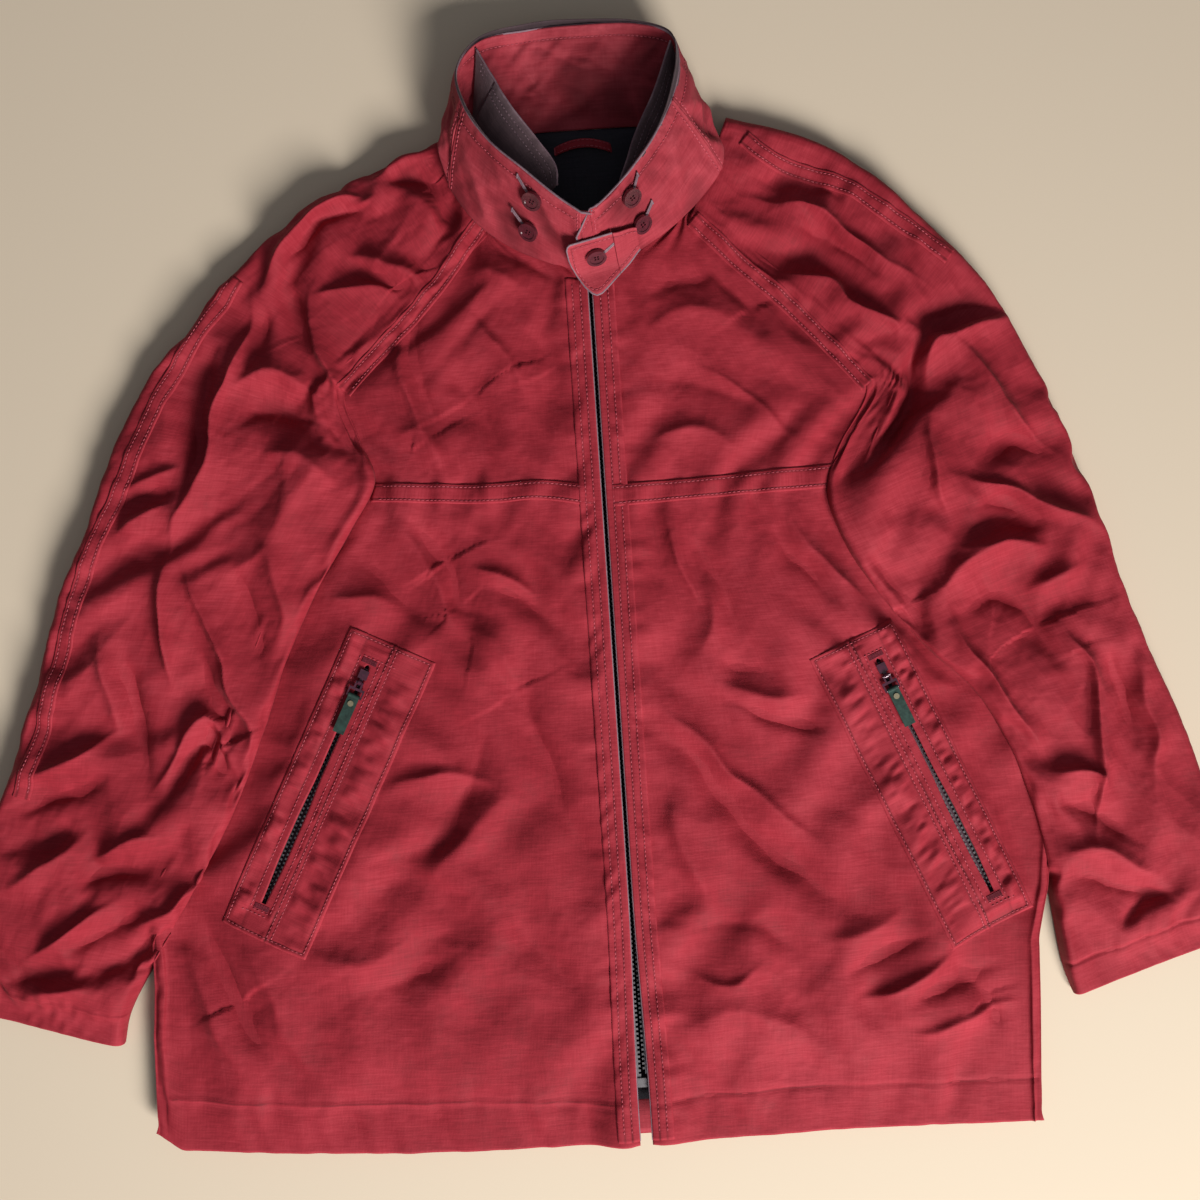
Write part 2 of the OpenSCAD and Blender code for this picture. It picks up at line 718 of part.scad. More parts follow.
back_panel();
back_lining();
hanger_loop();
color(red) front_upper(-1);  // front_upper_right
color(red) front_upper(1);  // front_upper_left
color(red) front_lower(-1);  // front_lower_right
color(red) front_lower(1);  // front_lower_left
color(red_light) chest_band(-1);  // chest_band_right
color(red_light) chest_band(1);  // chest_band_left
color(red_deep) placket(-1);  // placket_right
color(red_deep) placket(1);  // placket_left
color(red_deep) hem_front(-1);  // hem_front_right
color(red_deep) hem_front(1);  // hem_front_left
hem_back();
front_lining(-1);  // front_lining_right
front_lining(1);  // front_lining_left
color(red_deep) side_seam(-1);  // side_seam_right
color(red_deep) side_seam(1);  // side_seam_left
color(red) sleeve_front(-1);  // sleeve_front_right
color(red) sleeve_front(1);  // sleeve_front_left
color(red) sleeve_back(-1);  // sleeve_back_right
color(red) sleeve_back(1);  // sleeve_back_left
color(red_deep) sleeve_outer_seam(-1);  // sleeve_outer_seam_right
color(red_deep) sleeve_outer_seam(1);  // sleeve_outer_seam_left
color(red_deep) sleeve_inner_seam(-1);  // sleeve_inner_seam_right
color(red_deep) sleeve_inner_seam(1);  // sleeve_inner_seam_left
cuff(-1);  // cuff_right
cuff(1);  // cuff_left
color(red) collar_piece(0, seam_station_right);  // collar_right
color(red) collar_piece(seam_station_left, 16);  // collar_left
color(red) collar_piece(seam_station_right, seam_station_left);  // collar_back
storm_collar(storm_foot_right, storm_edge_right, -1);  // storm_collar_right
storm_collar(storm_foot_left, storm_edge_left, 1);  // storm_collar_left
collar_buttons();
front_zip_tapes();
front_zip_teeth_right();
front_zip_teeth_left();
front_zip_stops();
front_zip_box();
front_zip_pin();
pocket_patch(-1);  // pocket_patch_right
pocket_patch(1);  // pocket_patch_left
pocket_zip_tapes(-1);  // pocket_zip_tapes_right
pocket_zip_tapes(1);  // pocket_zip_tapes_left
pocket_zip_teeth(-1);  // pocket_zip_teeth_right
pocket_zip_teeth(1);  // pocket_zip_teeth_left
pocket_bag(-1);  // pocket_bag_right
pocket_bag(1);  // pocket_bag_left
front_zip_slider();
front_zip_pull();
pocket_slider_node(-1);  // pocket_slider_right
pocket_slider_node(1);  // pocket_slider_left
pocket_pull(-1);  // pocket_pull_right
pocket_pull(1);  // pocket_pull_left
pocket_tab(-1);  // pocket_tab_right
pocket_tab(1);  // pocket_tab_left
pocket_rivet(-1);  // pocket_rivet_right
pocket_rivet(1);  // pocket_rivet_left
collar_tab();
tab_button();
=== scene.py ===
"""Foul weather jacket lying on a floor: cloth, seams, collar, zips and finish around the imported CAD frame."""
import bpy
import json
import math
import numpy as np
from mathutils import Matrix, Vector
from mathutils.bvhtree import BVHTree


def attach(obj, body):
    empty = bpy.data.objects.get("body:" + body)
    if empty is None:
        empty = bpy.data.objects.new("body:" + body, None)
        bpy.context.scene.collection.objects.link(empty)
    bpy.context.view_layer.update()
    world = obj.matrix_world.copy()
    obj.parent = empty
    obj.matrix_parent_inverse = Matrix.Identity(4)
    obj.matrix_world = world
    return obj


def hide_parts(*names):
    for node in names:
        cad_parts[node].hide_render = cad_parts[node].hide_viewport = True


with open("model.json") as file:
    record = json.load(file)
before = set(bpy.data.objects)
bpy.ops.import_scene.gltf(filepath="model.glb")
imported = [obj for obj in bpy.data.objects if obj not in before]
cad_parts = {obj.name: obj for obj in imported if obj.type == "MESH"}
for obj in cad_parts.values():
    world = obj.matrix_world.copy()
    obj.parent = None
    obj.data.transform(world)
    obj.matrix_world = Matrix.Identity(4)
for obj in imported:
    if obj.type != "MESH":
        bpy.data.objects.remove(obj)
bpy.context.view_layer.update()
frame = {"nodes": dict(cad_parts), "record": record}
MM = 0.001
ZIP_X = 23.0
FRONT_Z = 24.0

# ---------------------------------------------------------------- plan of the jacket, in mm

HEM_RIGHT = [(-346, -392), (-327, -404), (-242, -411), (-150, -416), (-60, -419), (23, -422)]
HEM_LEFT = [(23, -422), (103, -420), (180, -419), (257, -422), (323, -426)]
SLEEVE_RIGHT = [  # outer edge, inner edge, from the neck to the cuff
    ((-84, 349), (-52, 272)), ((-150, 323), (-91, 236)), ((-200, 297), (-123, 203)),
    ((-250, 256), (-148, 180)), ((-290, 212), (-168, 159)), ((-325, 170), (-160, 125)),
    ((-352, 120), (-149, 91)), ((-375, 65), (-172, 52)), ((-398, 15), (-200, 8)),
    ((-415, -35), (-224, -38)), ((-433, -85), (-247, -95)), ((-452, -135), (-272, -150)),
    ((-470, -188), (-304, -205)), ((-478, -232), (-343, -264)), ((-473, -265), (-364, -299)),
    ((-480, -290), (-371, -324))]
SLEEVE_LEFT = [
    ((136, 353), (100, 271)), ((195, 333), (138, 236)), ((240, 304), (174, 201)),
    ((280, 266), (202, 169)), ((318, 221), (228, 138)), ((348, 168), (204, 95)),
    ((368, 124), (192, 62)), ((385, 75), (205, 18)), ((400, 25), (232, -26)),
    ((414, -25), (262, -64)), ((432, -78), (291, -93)), ((450, -125), (312, -128)),
    ((464, -170), (329, -175)), ((474, -215), (339, -222)), ((477, -248), (345, -268)),
    ((469, -272), (350, -308)), ((476, -297), (357, -333))]
SIDE_RIGHT = [(-426, -346), (-392, -346), (-330, -345), (-285, -342), (-240, -341), (-198, -334),
              (-143, -303), (-95, -283), (-48, -264), (-5, -243), (32, -218), (64, -200), (91, -186),
              (128, -190), (159, -196), (180, -176), (203, -148), (236, -112), (275, -74)]
SIDE_LEFT = [(-426, 323), (-392, 325), (-330, 329), (-285, 331), (-250, 340), (-215, 345), (-170, 342),
             (-124, 332), (-90, 318), (-62, 294), (-28, 268), (5, 245), (34, 232), (62, 224),
             (95, 236), (138, 254), (169, 230), (201, 200), (236, 162), (275, 120)]
NECK_RIGHT = [(230, 19), (240, 10), (249, -8), (263, -34), (284, -66)]
NECK_LEFT = [(230, 27), (240, 36), (250, 54), (265, 82), (287, 114)]
POCKET_RIGHT = ((-208, -134), -27.5)
POCKET_LEFT = ((258, -158), 22.5)
RAGLAN = {-1: [(-54, 284), (-91, 238), (-123, 205), (-148, 182), (-168, 161)],
          1: [(104, 274), (138, 238), (174, 203), (202, 171), (228, 140)]}
OUTER_SEAM = {-1: [(-244, 252), (-273, 214), (-300, 177), (-322, 138), (-341, 98), (-362, 60), (-379, 20),
                   (-396, -30), (-412, -80), (-432, -130)],
              1: [(147, 333), (167, 316), (219, 293), (250, 270), (296, 232)]}
CHEST = {-1: ([(20, 77), (-24, 84), (-70, 84), (-149, 90)], [(20, 60), (-25, 69), (-71, 69), (-153, 76)]),
         1: ([(26, 77), (96, 78), (142, 80), (200, 82)], [(26, 60), (96, 62), (142, 63), (200, 64)])}
HEM_LINE = {-1: [(14, -392), (-85, -384), (-161, -381), (-236, -376), (-334, -366)],
            1: [(33, -392), (85, -390), (141, -389), (217, -391), (322, -394)]}

# Folds laid in one by one: height, half width, 1 for a sharp crest, and the line
BODY_FOLDS = [
    (-4.5, 11, 0, [(-134, 69), (-113, 45), (-96, 22), (-89, -7), (-63, -21)]),
    (3.5, 8, 1, [(-136, 57), (-114, 27), (-102, 0), (-96, -25)]),
    (-4, 14, 0, [(-175, 43), (-131, -4), (-103, -23)]),
    (3, 8, 1, [(-192, 6), (-162, 4), (-140, -4)]),
    (3.5, 7, 1, [(-81, 21), (-56, 11), (-30, -11)]),
    (-3, 9, 0, [(-75, 4), (-49, -5), (-20, -30)]),
    (3, 14, 0, [(-96, -32), (-84, -27), (-63, -46), (-43, -81)]),
    (-4.5, 14, 0, [(-85, -41), (-61, -65), (-39, -116), (-25, -158), (-16, -197)]),
    (-3, 12, 0, [(-76, -95), (-95, -144), (-110, -180), (-138, -202)]),
    (3.5, 20, 0, [(-55, -147), (-99, -184), (-135, -223)]),
    (3, 9, 1, [(-157, -142), (-107, -130), (-70, -148)]),
    (-3, 14, 0, [(-26, -169), (-5, -197), (20, -225)]),
    (-6, 10, 0, [(-304, -227), (-283, -285), (-251, -344)]),
    (4, 12, 0, [(-318, -237), (-303, -291), (-276, -350)]),
    (3.5, 12, 0, [(-273, -240), (-250, -295), (-234, -341)]),
    (-3.5, 16, 0, [(-193, -298), (-155, -290), (-106, -266)]),
    (3, 14, 0, [(-229, -258), (-176, -269), (-137, -249)]),
    (-3, 16, 0, [(-75, -230), (-44, -278), (-13, -318)]),
    (-6, 15, 0, [(38, -113), (75, -132), (112, -184), (142, -215), (197, -260)]),
    (4.5, 9, 1, [(48, -87), (83, -120), (126, -164), (176, -209)]),
    (3.5, 12, 0, [(51, -156), (67, -202), (84, -247)]),
    (-3, 9, 0, [(87, 44), (115, -26), (125, -51)]),
    (3, 7, 1, [(69, 53), (77, 17), (90, -22)]),
    (-4, 7, 1, [(103, -90), (129, -102), (156, -113), (185, -121)]),
    (3.5, 10, 0, [(101, -79), (131, -89), (172, -96)]),
    (-3, 10, 0, [(103, -57), (125, -68), (154, -76)]),
    (-3.5, 10, 0, [(147, 42), (175, 3), (203, -29)]),
    (3, 7, 1, [(159, 49), (190, 9), (222, -23)]),
    (3.5, 12, 0, [(92, 16), (99, -23), (87, -60)]),
    (-4, 9, 0, [(182, -304), (218, -288), (247, -275)]),
    (4, 7, 1, [(191, -324), (226, -315), (269, -291)]),
    (-4, 8, 0, [(221, -333), (259, -317), (306, -305)]),
    (3.5, 7, 1, [(219, -352), (265, -344), (315, -332)]),
    (4, 12, 0, [(171, -277), (202, -272), (230, -255)]),
    (-3.5, 8, 0, [(261, -291), (285, -330), (298, -369)]),
    (2.5, 8, 1, [(60, -295), (94, -305), (125, -289)]),
    (-2.5, 12, 0, [(66, -263), (119, -262), (163, -292)]),
    (3, 16, 0, [(54, -337), (108, -326), (159, -352)]),
    (-4, 9, 0, [(-112, 235), (-115, 189), (-106, 151), (-91, 110)]),
    (4, 8, 1, [(-121, 227), (-125, 189), (-117, 147), (-102, 112)]),
    (-3.5, 16, 0, [(-93, 187), (-73, 148), (-53, 105)]),
    (3, 9, 1, [(-71, 215), (-40, 173), (-28, 137)]),
    (-3, 14, 0, [(-31, 206), (-4, 166), (8, 120)]),
    (3.5, 13, 0, [(-133, 122), (-112, 128), (-95, 96)]),
    (3, 14, 0, [(-78, 250), (-51, 243), (-23, 220)]),
    (-3.5, 9, 0, [(-57, 268), (-28, 249), (8, 229)]),
    (-3, 10, 0, [(60, 215), (99, 227), (122, 241)]),
    (3, 12, 0, [(59, 192), (105, 204), (134, 187)]),
    (-3, 14, 0, [(64, 154), (116, 143), (160, 117)]),
    (3, 8, 1, [(95, 167), (131, 142), (174, 101)]),
    (-3.5, 9, 0, [(108, 249), (139, 209), (156, 170)]),
    (3, 9, 0, [(61, 109), (99, 114), (128, 97)]),
]
SLEEVE_FOLDS = [
    (7, 8, 1, [(-224, 241), (-207, 268), (-179, 293), (-152, 307), (-137, 302)]),
    (-6, 8, 0, [(-210, 252), (-182, 278), (-154, 296), (-133, 292)]),
    (4, 8, 1, [(-130, 324), (-90, 338), (-81, 336)]),
    (-4, 7, 0, [(-126, 314), (-96, 316), (-86, 300)]),
    (5, 12, 0, [(-115, 310), (-101, 297), (-83, 281)]),
    (-5, 8, 0, [(-97, 292), (-68, 291)]),
    (6, 10, 0, [(-163, 261), (-134, 256), (-111, 249), (-107, 233)]),
    (-4, 7, 0, [(-165, 249), (-135, 244), (-116, 235)]),
    (5, 8, 1, [(-183, 232), (-165, 236), (-134, 238), (-117, 226)]),
    (-8, 10, 0, [(-195, 243), (-195, 214), (-185, 189)]),
    (8, 8, 1, [(-182, 238), (-185, 214), (-177, 182), (-165, 150), (-154, 102)]),
    (-9, 15, 0, [(-247, 137), (-229, 148), (-198, 146), (-177, 124), (-157, 97)]),
    (7, 14, 0, [(-257, 164), (-227, 177), (-201, 173), (-182, 151)]),
    (6, 14, 0, [(-232, 117), (-204, 111), (-175, 87)]),
    (7, 7, 1, [(-231, 242), (-235, 208), (-254, 173), (-265, 137), (-276, 105), (-299, 71), (-305, 44)]),
    (-8, 11, 0, [(-247, 212), (-272, 177), (-278, 131), (-290, 74)]),
    (-4, 9, 0, [(-222, 233), (-227, 200), (-242, 170)]),
    (4, 8, 1, [(-339, 96), (-318, 106), (-293, 113)]),
    (4.5, 8, 1, [(-343, 64), (-324, 77), (-304, 84)]),
    (-4, 8, 0, [(-339, 80), (-319, 91), (-296, 97)]),
    (6, 7, 1, [(-306, 42), (-315, -25), (-312, -56)]),
    (5.5, 7, 1, [(-296, 42), (-276, -23), (-256, -96), (-256, -125)]),
    (-5, 9, 0, [(-296, -19), (-280, -65), (-270, -112)]),
    (6, 8, 1, [(-336, -131), (-313, -105), (-289, -77), (-275, -105), (-261, -135)]),
    (-7, 13, 0, [(-323, -138), (-291, -99), (-270, -138)]),
    (-7, 11, 0, [(-347, -16), (-340, -86), (-339, -130)]),
    (5, 10, 0, [(-364, -15), (-358, -60), (-355, -91)]),
    (-5, 10, 0, [(-258, 39), (-244, -7), (-244, -53)]),
    (5, 10, 0, [(-237, 53), (-222, 14), (-228, -24)]),
    (6, 8, 1, [(-434, -254), (-397, -232), (-361, -210)]),
    (-5, 10, 0, [(-410, -252), (-371, -234), (-332, -213)]),
    (5, 10, 0, [(-452, -205), (-417, -181), (-381, -154)]),
    (-5, 10, 0, [(-450, -175), (-419, -166), (-388, -145)]),
    (5.5, 8, 1, [(-431, -120), (-392, -103), (-355, -83)]),
    (-5, 9, 0, [(-433, -142), (-402, -133), (-363, -117)]),
    (5, 9, 1, [(-382, -180), (-351, -163), (-325, -168)]),
    (-5, 9, 0, [(-395, -202), (-360, -185), (-338, -198)]),
    (5, 9, 0, [(-356, -235), (-321, -218), (-289, -201)]),
    (-5, 9, 0, [(-389, -274), (-349, -250), (-310, -234)]),
    (4.5, 9, 0, [(-442, -282), (-411, -273), (-378, -279)]),
    (-4, 8, 0, [(-456, -270), (-426, -264), (-395, -255)]),
    (-5, 9, 0, [(142, 306), (187, 296), (223, 276)]),
    (5.5, 8, 1, [(152, 289), (188, 278), (212, 261), (247, 231), (273, 213)]),
    (-5, 8, 0, [(177, 266), (214, 246), (250, 217)]),
    (-8, 11, 0, [(157, 250), (198, 233), (233, 200), (255, 185)]),
    (7, 9, 1, [(162, 232), (201, 220), (217, 202), (250, 182), (251, 164)]),
    (-12, 15, 0, [(261, 182), (261, 133), (228, 94), (192, 56)]),
    (-9, 10, 0, [(265, 167), (293, 186), (335, 188)]),
    (8, 9, 1, [(271, 129), (276, 165), (292, 176), (334, 181)]),
    (6, 8, 1, [(289, 176), (321, 133), (344, 94), (373, 74)]),
    (-6, 9, 0, [(302, 70), (333, 88), (370, 76)]),
    (6, 8, 1, [(282, 64), (321, 53), (358, 34), (392, 19)]),
    (-6, 8, 0, [(296, 44), (332, 36), (365, 20)]),
    (-6, 8, 0, [(294, 24), (324, 26), (354, 21)]),
    (5, 8, 0, [(281, 10), (319, 12), (357, 6)]),
    (5, 7, 1, [(274, 111), (274, 63), (284, 30)]),
    (6, 12, 0, [(262, -28), (292, -1), (331, 18)]),
    (-8, 15, 0, [(279, -41), (310, -27), (339, -46), (358, -93)]),
    (6, 8, 1, [(352, -39), (377, -80), (382, -119), (378, -223)]),
    (6, 9, 1, [(271, -26), (288, -58), (312, -97), (339, -141)]),
    (-5, 10, 0, [(221, 22), (245, -25), (268, -72)]),
    (5, 10, 0, [(332, -30), (355, -17), (382, -11)]),
    (-5, 9, 0, [(394, -65), (406, -111), (410, -157)]),
    (5, 9, 0, [(412, -66), (423, -127), (427, -188)]),
    (5, 8, 1, [(341, -156), (376, -166), (390, -178)]),
    (-5, 9, 0, [(344, -183), (381, -196), (417, -225)]),
    (5, 9, 0, [(349, -221), (387, -223), (423, -248)]),
    (-4, 8, 0, [(355, -244), (393, -250), (437, -265)]),
    (-5, 8, 0, [(390, -284), (407, -266), (434, -257)]),
    (4, 8, 0, [(232, 302), (261, 281), (289, 245)]),
]


# ---------------------------------------------------------------- small maths


def smooth(a, b, x):
    t = np.clip((np.asarray(x, float) - a) / (b - a), 0, 1)
    return t * t * (3 - 2 * t)


def spline(points, count=None, step=None):
    """Smooth line through a few points, as evenly spaced ones."""
    p = np.asarray(points, float)
    q = np.vstack([2 * p[0] - p[1], p, 2 * p[-1] - p[-2]])
    t = np.linspace(0, 1, 24, endpoint=False)[:, None]
    out = []
    for a, b, c, d in zip(q, q[1:], q[2:], q[3:]):
        out.append(0.5 * (2 * b + (c - a) * t + (2 * a - 5 * b + 4 * c - d) * t ** 2
                          + (3 * b - a - 3 * c + d) * t ** 3))
    line = np.vstack(out + [p[-1:]])
    s = np.r_[0, np.cumsum(np.linalg.norm(np.diff(line, axis=0), axis=1))]
    count = count or max(3, int(s[-1] / step) + 1)
    at = np.linspace(0, s[-1], count)
    return np.stack([np.interp(at, s, line[:, k]) for k in range(p.shape[1])], 1)


def noise2(x, y, cell, seed, octaves=1):
    """Smooth value noise from -1 to 1, with `cell` the size of its largest blobs."""
    total = np.zeros(np.broadcast(x, y).shape)
    gain = 1.0
    for k in range(octaves):
        table = np.random.default_rng(seed + 17 * k).uniform(-1, 1, (64, 64))
        u = np.asarray(x) / cell * 2 ** k + 31.7
        v = np.asarray(y) / cell * 2 ** k + 11.3
        iu, iv = np.floor(u).astype(int), np.floor(v).astype(int)
        fu, fv = u - iu, v - iv
        fu, fv = fu * fu * (3 - 2 * fu), fv * fv * (3 - 2 * fv)
        a, b = table[iu % 64, iv % 64], table[(iu + 1) % 64, iv % 64]
        c, d = table[iu % 64, (iv + 1) % 64], table[(iu + 1) % 64, (iv + 1) % 64]
        total = total + gain * ((a * (1 - fu) + b * fu) * (1 - fv) + (c * (1 - fu) + d * fu) * fv)
        gain *= 0.5
    return total


def crumple(x, y, cell, seed, long=1.0, turn=0.0):
    """Shallow facets with crisp crests between them, about -0.5 to 0.5 high."""
    c, t = math.cos(turn), math.sin(turn)
    u, v = (x * c + y * t) / (cell * long), (y * c - x * t) / cell
    u, v = u + 0.30 * noise2(u, v, 1.1, seed + 5), v + 0.30 * noise2(u, v, 1.1, seed + 6)
    spot = np.random.default_rng(seed).uniform(0.08, 0.92, (32, 32, 2))
    high = np.random.default_rng(seed + 1).uniform(-0.25, 0.25, (32, 32))
    iu, iv = np.floor(u).astype(int), np.floor(v).astype(int)
    best = np.full(np.shape(u), 9.0)
    for a in (-1, 0, 1):
        for b in (-1, 0, 1):
            at = spot[(iu + a) % 32, (iv + b) % 32]
            d = np.hypot(iu + a + at[..., 0] - u, iv + b + at[..., 1] - v) + high[(iu + a) % 32, (iv + b) % 32]
            best = np.minimum(best, d)
    best = np.maximum(best, 0)
    return best * best / (best + 0.2) - 0.35


def to_line(x, y, line, sided=False):
    """Distance from points to a polyline, how far along it the nearest point is, and whether they are past it."""
    shape = np.shape(x)
    p = np.stack([np.ravel(x), np.ravel(y)], 1)
    best = np.full(len(p), 1e9)
    along = np.zeros(len(p))
    beyond = np.zeros(len(p))
    at = 0.0
    for a, b in zip(line[:-1], line[1:]):
        a, b = np.asarray(a[:2], float), np.asarray(b[:2], float)
        e = b - a
        length = math.hypot(*e)
        t = np.clip(((p - a) @ e) / length ** 2, 0, 1)
        off = p - a - t[:, None] * e
        d = np.hypot(off[:, 0], off[:, 1])
        near = d < best
        best[near] = d[near]
        along[near] = at + t[near] * length
        cross = (p[near, 1] - a[1]) * e[0] - (p[near, 0] - a[0]) * e[1]
        beyond[near] = cross * np.sign(0.9 * e[0] + 0.45 * e[1] + 1e-6)
        at += length
    if sided:
        return best.reshape(shape), along.reshape(shape), at, beyond.reshape(shape) > 0
    return best.reshape(shape), along.reshape(shape), at


def fold_height(x, y, folds, gain):
    """Height of the listed folds over points in plan."""
    z = np.zeros(x.shape)
    x, y = x + 3.5 * noise2(x, y, 26, 301), y + 3.5 * noise2(x, y, 26, 302)
    for height, half, sharp, line in folds:
        line = spline(line, count=4 * len(line))
        near = (np.abs(x - line[:, 0].mean()) < np.ptp(line[:, 0]) / 2 + 5 * half) & (
            np.abs(y - line[:, 1].mean()) < np.ptp(line[:, 1]) / 2 + 5 * half)
        if not near.any():
            continue
        d, s, length, past = to_line(x[near], y[near], line, sided=True)
        ends = smooth(0, 0.4 * length, s) * smooth(0, 0.4 * length, length - s)
        steep = past if height > 0 else ~past
        width = half * (0.6 + 0.4 * ends) * np.where(steep, 0.50 if sharp else 0.65, 1.35)
        blunt = (1.2 if sharp else 2.4) if height > 0 else 3.2
        shape = np.exp((blunt - np.sqrt(d ** 2 + blunt ** 2)) / ((0.75 if height > 0 else 0.85) * width))
        z[near] += gain * height * (0.05 + 0.95 * ends) * shape
    return z


def normals(grid):
    a = np.gradient(grid, axis=0)
    b = np.gradient(grid, axis=1)
    n = np.cross(b, a)
    n /= np.maximum(np.linalg.norm(n, axis=2, keepdims=True), 1e-9)
    return n


# ---------------------------------------------------------------- cloth that is longer than its place


def fold_metric(x, y, base, seed):
    """Extra length per unit in each direction, patchy, as the three numbers of a symmetric tensor."""
    angle = 2.2 * noise2(x, y, 110, seed)
    extra = base * (1 + 0.9 * noise2(x, y, 70, seed + 3))
    extra = np.maximum(extra, 0)
    c, s = np.cos(angle), np.sin(angle)
    return extra * (0.25 + c * c), extra * c * s, extra * (0.25 + s * s)


def drape(rest, metric, hold, under, steps, bend, bed, seed, kick):
    """Relaxes a grid of cloth that is longer than the space it lies in, so that it folds.
    hold is 1 where the cloth is sewn down, and under is the height that it can't go below."""
    cell = np.median(np.linalg.norm(np.diff(rest, axis=1)[..., :2], axis=2))
    p = rest / cell
    home = p.copy()
    xx, xy, yy = metric

    def springs(di, dj):
        a = (slice(0, p.shape[0] - di), slice(0, p.shape[1] - dj) if dj >= 0 else slice(-dj, None))
        b = (slice(di, None), slice(dj, None) if dj >= 0 else slice(0, dj))
        e = home[b] - home[a]
        flat = np.linalg.norm(e, axis=2)
        gx = 0.5 * (xx[a] + xx[b]) * e[..., 0] ** 2 + (xy[a] + xy[b]) * e[..., 0] * e[..., 1]
        g = (gx + 0.5 * (yy[a] + yy[b]) * e[..., 1] ** 2) / np.maximum(flat, 1e-6) ** 2
        return a, b, flat * (1 + g)

    sets = [(springs(0, 1), 1.0), (springs(1, 0), 1.0), (springs(1, 1), 0.45), (springs(1, -1), 0.45)]
    bump = np.random.default_rng(seed).normal(0, 1, p.shape[:2])
    for _ in range(5):
        bump = (bump + np.roll(bump, 1, 0) + np.roll(bump, -1, 0) + np.roll(bump, 1, 1) + np.roll(bump, -1, 1)) / 5
    p[..., 2] += (1 - hold) * bump / bump.std() * kick / cell
    v = np.zeros_like(p)
    free = (1 - hold)[..., None]
    floor = under / cell
    dt = 0.55
    for _ in range(steps):
        f = np.zeros_like(p)
        for (a, b, length), k in sets:
            e = p[b] - p[a]
            d = np.linalg.norm(e, axis=2)
            pull = (k * (d - length) / np.maximum(d, 1e-6))[..., None] * e
            f[a] += pull
            f[b] -= pull
        off = p - home
        lap = bend * (off[2:] + off[:-2] - 2 * off[1:-1])
        f[1:-1] += 2 * lap
        f[2:] -= lap
        f[:-2] -= lap
        lap = bend * (off[:, 2:] + off[:, :-2] - 2 * off[:, 1:-1])
        f[:, 1:-1] += 2 * lap
        f[:, 2:] -= lap
        f[:, :-2] -= lap
        f[..., 2] -= bed * off[..., 2]
        v = (v + dt * f) * 0.93
        p = p + dt * v * free
        low = p[..., 2] < floor
        p[..., 2][low] = floor[low]
        v[..., 2][low] *= 0.3
    return p * cell


def finer(grid, times):
    """Cubic resampling of a grid of points, `times` as fine both ways."""
    def one(g):
        q = np.concatenate([2 * g[:1] - g[1:2], g, 2 * g[-1:] - g[-2:-1]])
        out = []
        for k in range(times):
            t = k / times
            w = (0.5 * (-t + 2 * t ** 2 - t ** 3), 0.5 * (2 - 5 * t ** 2 + 3 * t ** 3),
                 0.5 * (t + 4 * t ** 2 - 3 * t ** 3), 0.5 * (t ** 3 - t ** 2))
            out.append(sum(w[m] * q[m:len(g) - 1 + m] for m in range(4)))
        mixed = np.stack(out, 1).reshape((-1,) + g.shape[1:])
        return np.concatenate([mixed, g[-1:]])
    return one(one(grid).swapaxes(0, 1)).swapaxes(0, 1)


# ---------------------------------------------------------------- meshes

ALL_PIECES = []


def mesh_from(name, verts, faces, attrs, material, body="jacket", slot=None):
    """A mesh from points in mm and a list of arrays of faces, one array for each number of corners."""
    verts = np.asarray(verts, float) * MM
    me = bpy.data.meshes.new(name)
    me.vertices.add(len(verts))
    me.vertices.foreach_set("co", verts.astype(np.float32).ravel())
    faces = [np.asarray(f, np.int32) for f in faces if len(f)]
    loops = np.concatenate([f.ravel() for f in faces])
    sizes = np.concatenate([np.full(len(f), f.shape[1], np.int32) for f in faces])
    me.loops.add(len(loops))
    me.loops.foreach_set("vertex_index", loops)
    me.polygons.add(len(sizes))
    me.polygons.foreach_set("loop_start", np.r_[0, np.cumsum(sizes)[:-1]].astype(np.int32))
    me.polygons.foreach_set("loop_total", sizes)
    me.update(calc_edges=True)
    me.validate()
    attrs = dict(attrs or {})
    attrs.setdefault("weave", verts)
    attrs.setdefault("wear", np.zeros(len(verts)))
    for key, values in attrs.items():
        kind = "FLOAT" if np.ndim(values) == 1 else "FLOAT_VECTOR"
        layer = me.attributes.new(key, kind, "POINT")
        layer.data.foreach_set("value" if kind == "FLOAT" else "vector", np.asarray(values, np.float32).ravel())
    me.shade_smooth()
    ob = bpy.data.objects.new(name, me)
    bpy.context.scene.collection.objects.link(ob)
    me.materials.append(MATERIALS[material])
    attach(ob, body)
    ALL_PIECES.append(ob)
    return ob


def grid_faces(rows, cols):
    i, j = np.mgrid[0:rows - 1, 0:cols - 1]
    a = (i * cols + j).ravel()
    return np.stack([a, a + 1, a + cols + 1, a + cols], 1)


def rim(rows, cols):
    """Indices round the border of a grid, anticlockwise in (column, row)."""
    index = np.arange(rows * cols).reshape(rows, cols)
    return np.concatenate([index[0, :-1], index[:-1, -1], index[-1, :0:-1], index[:0:-1, 0]])


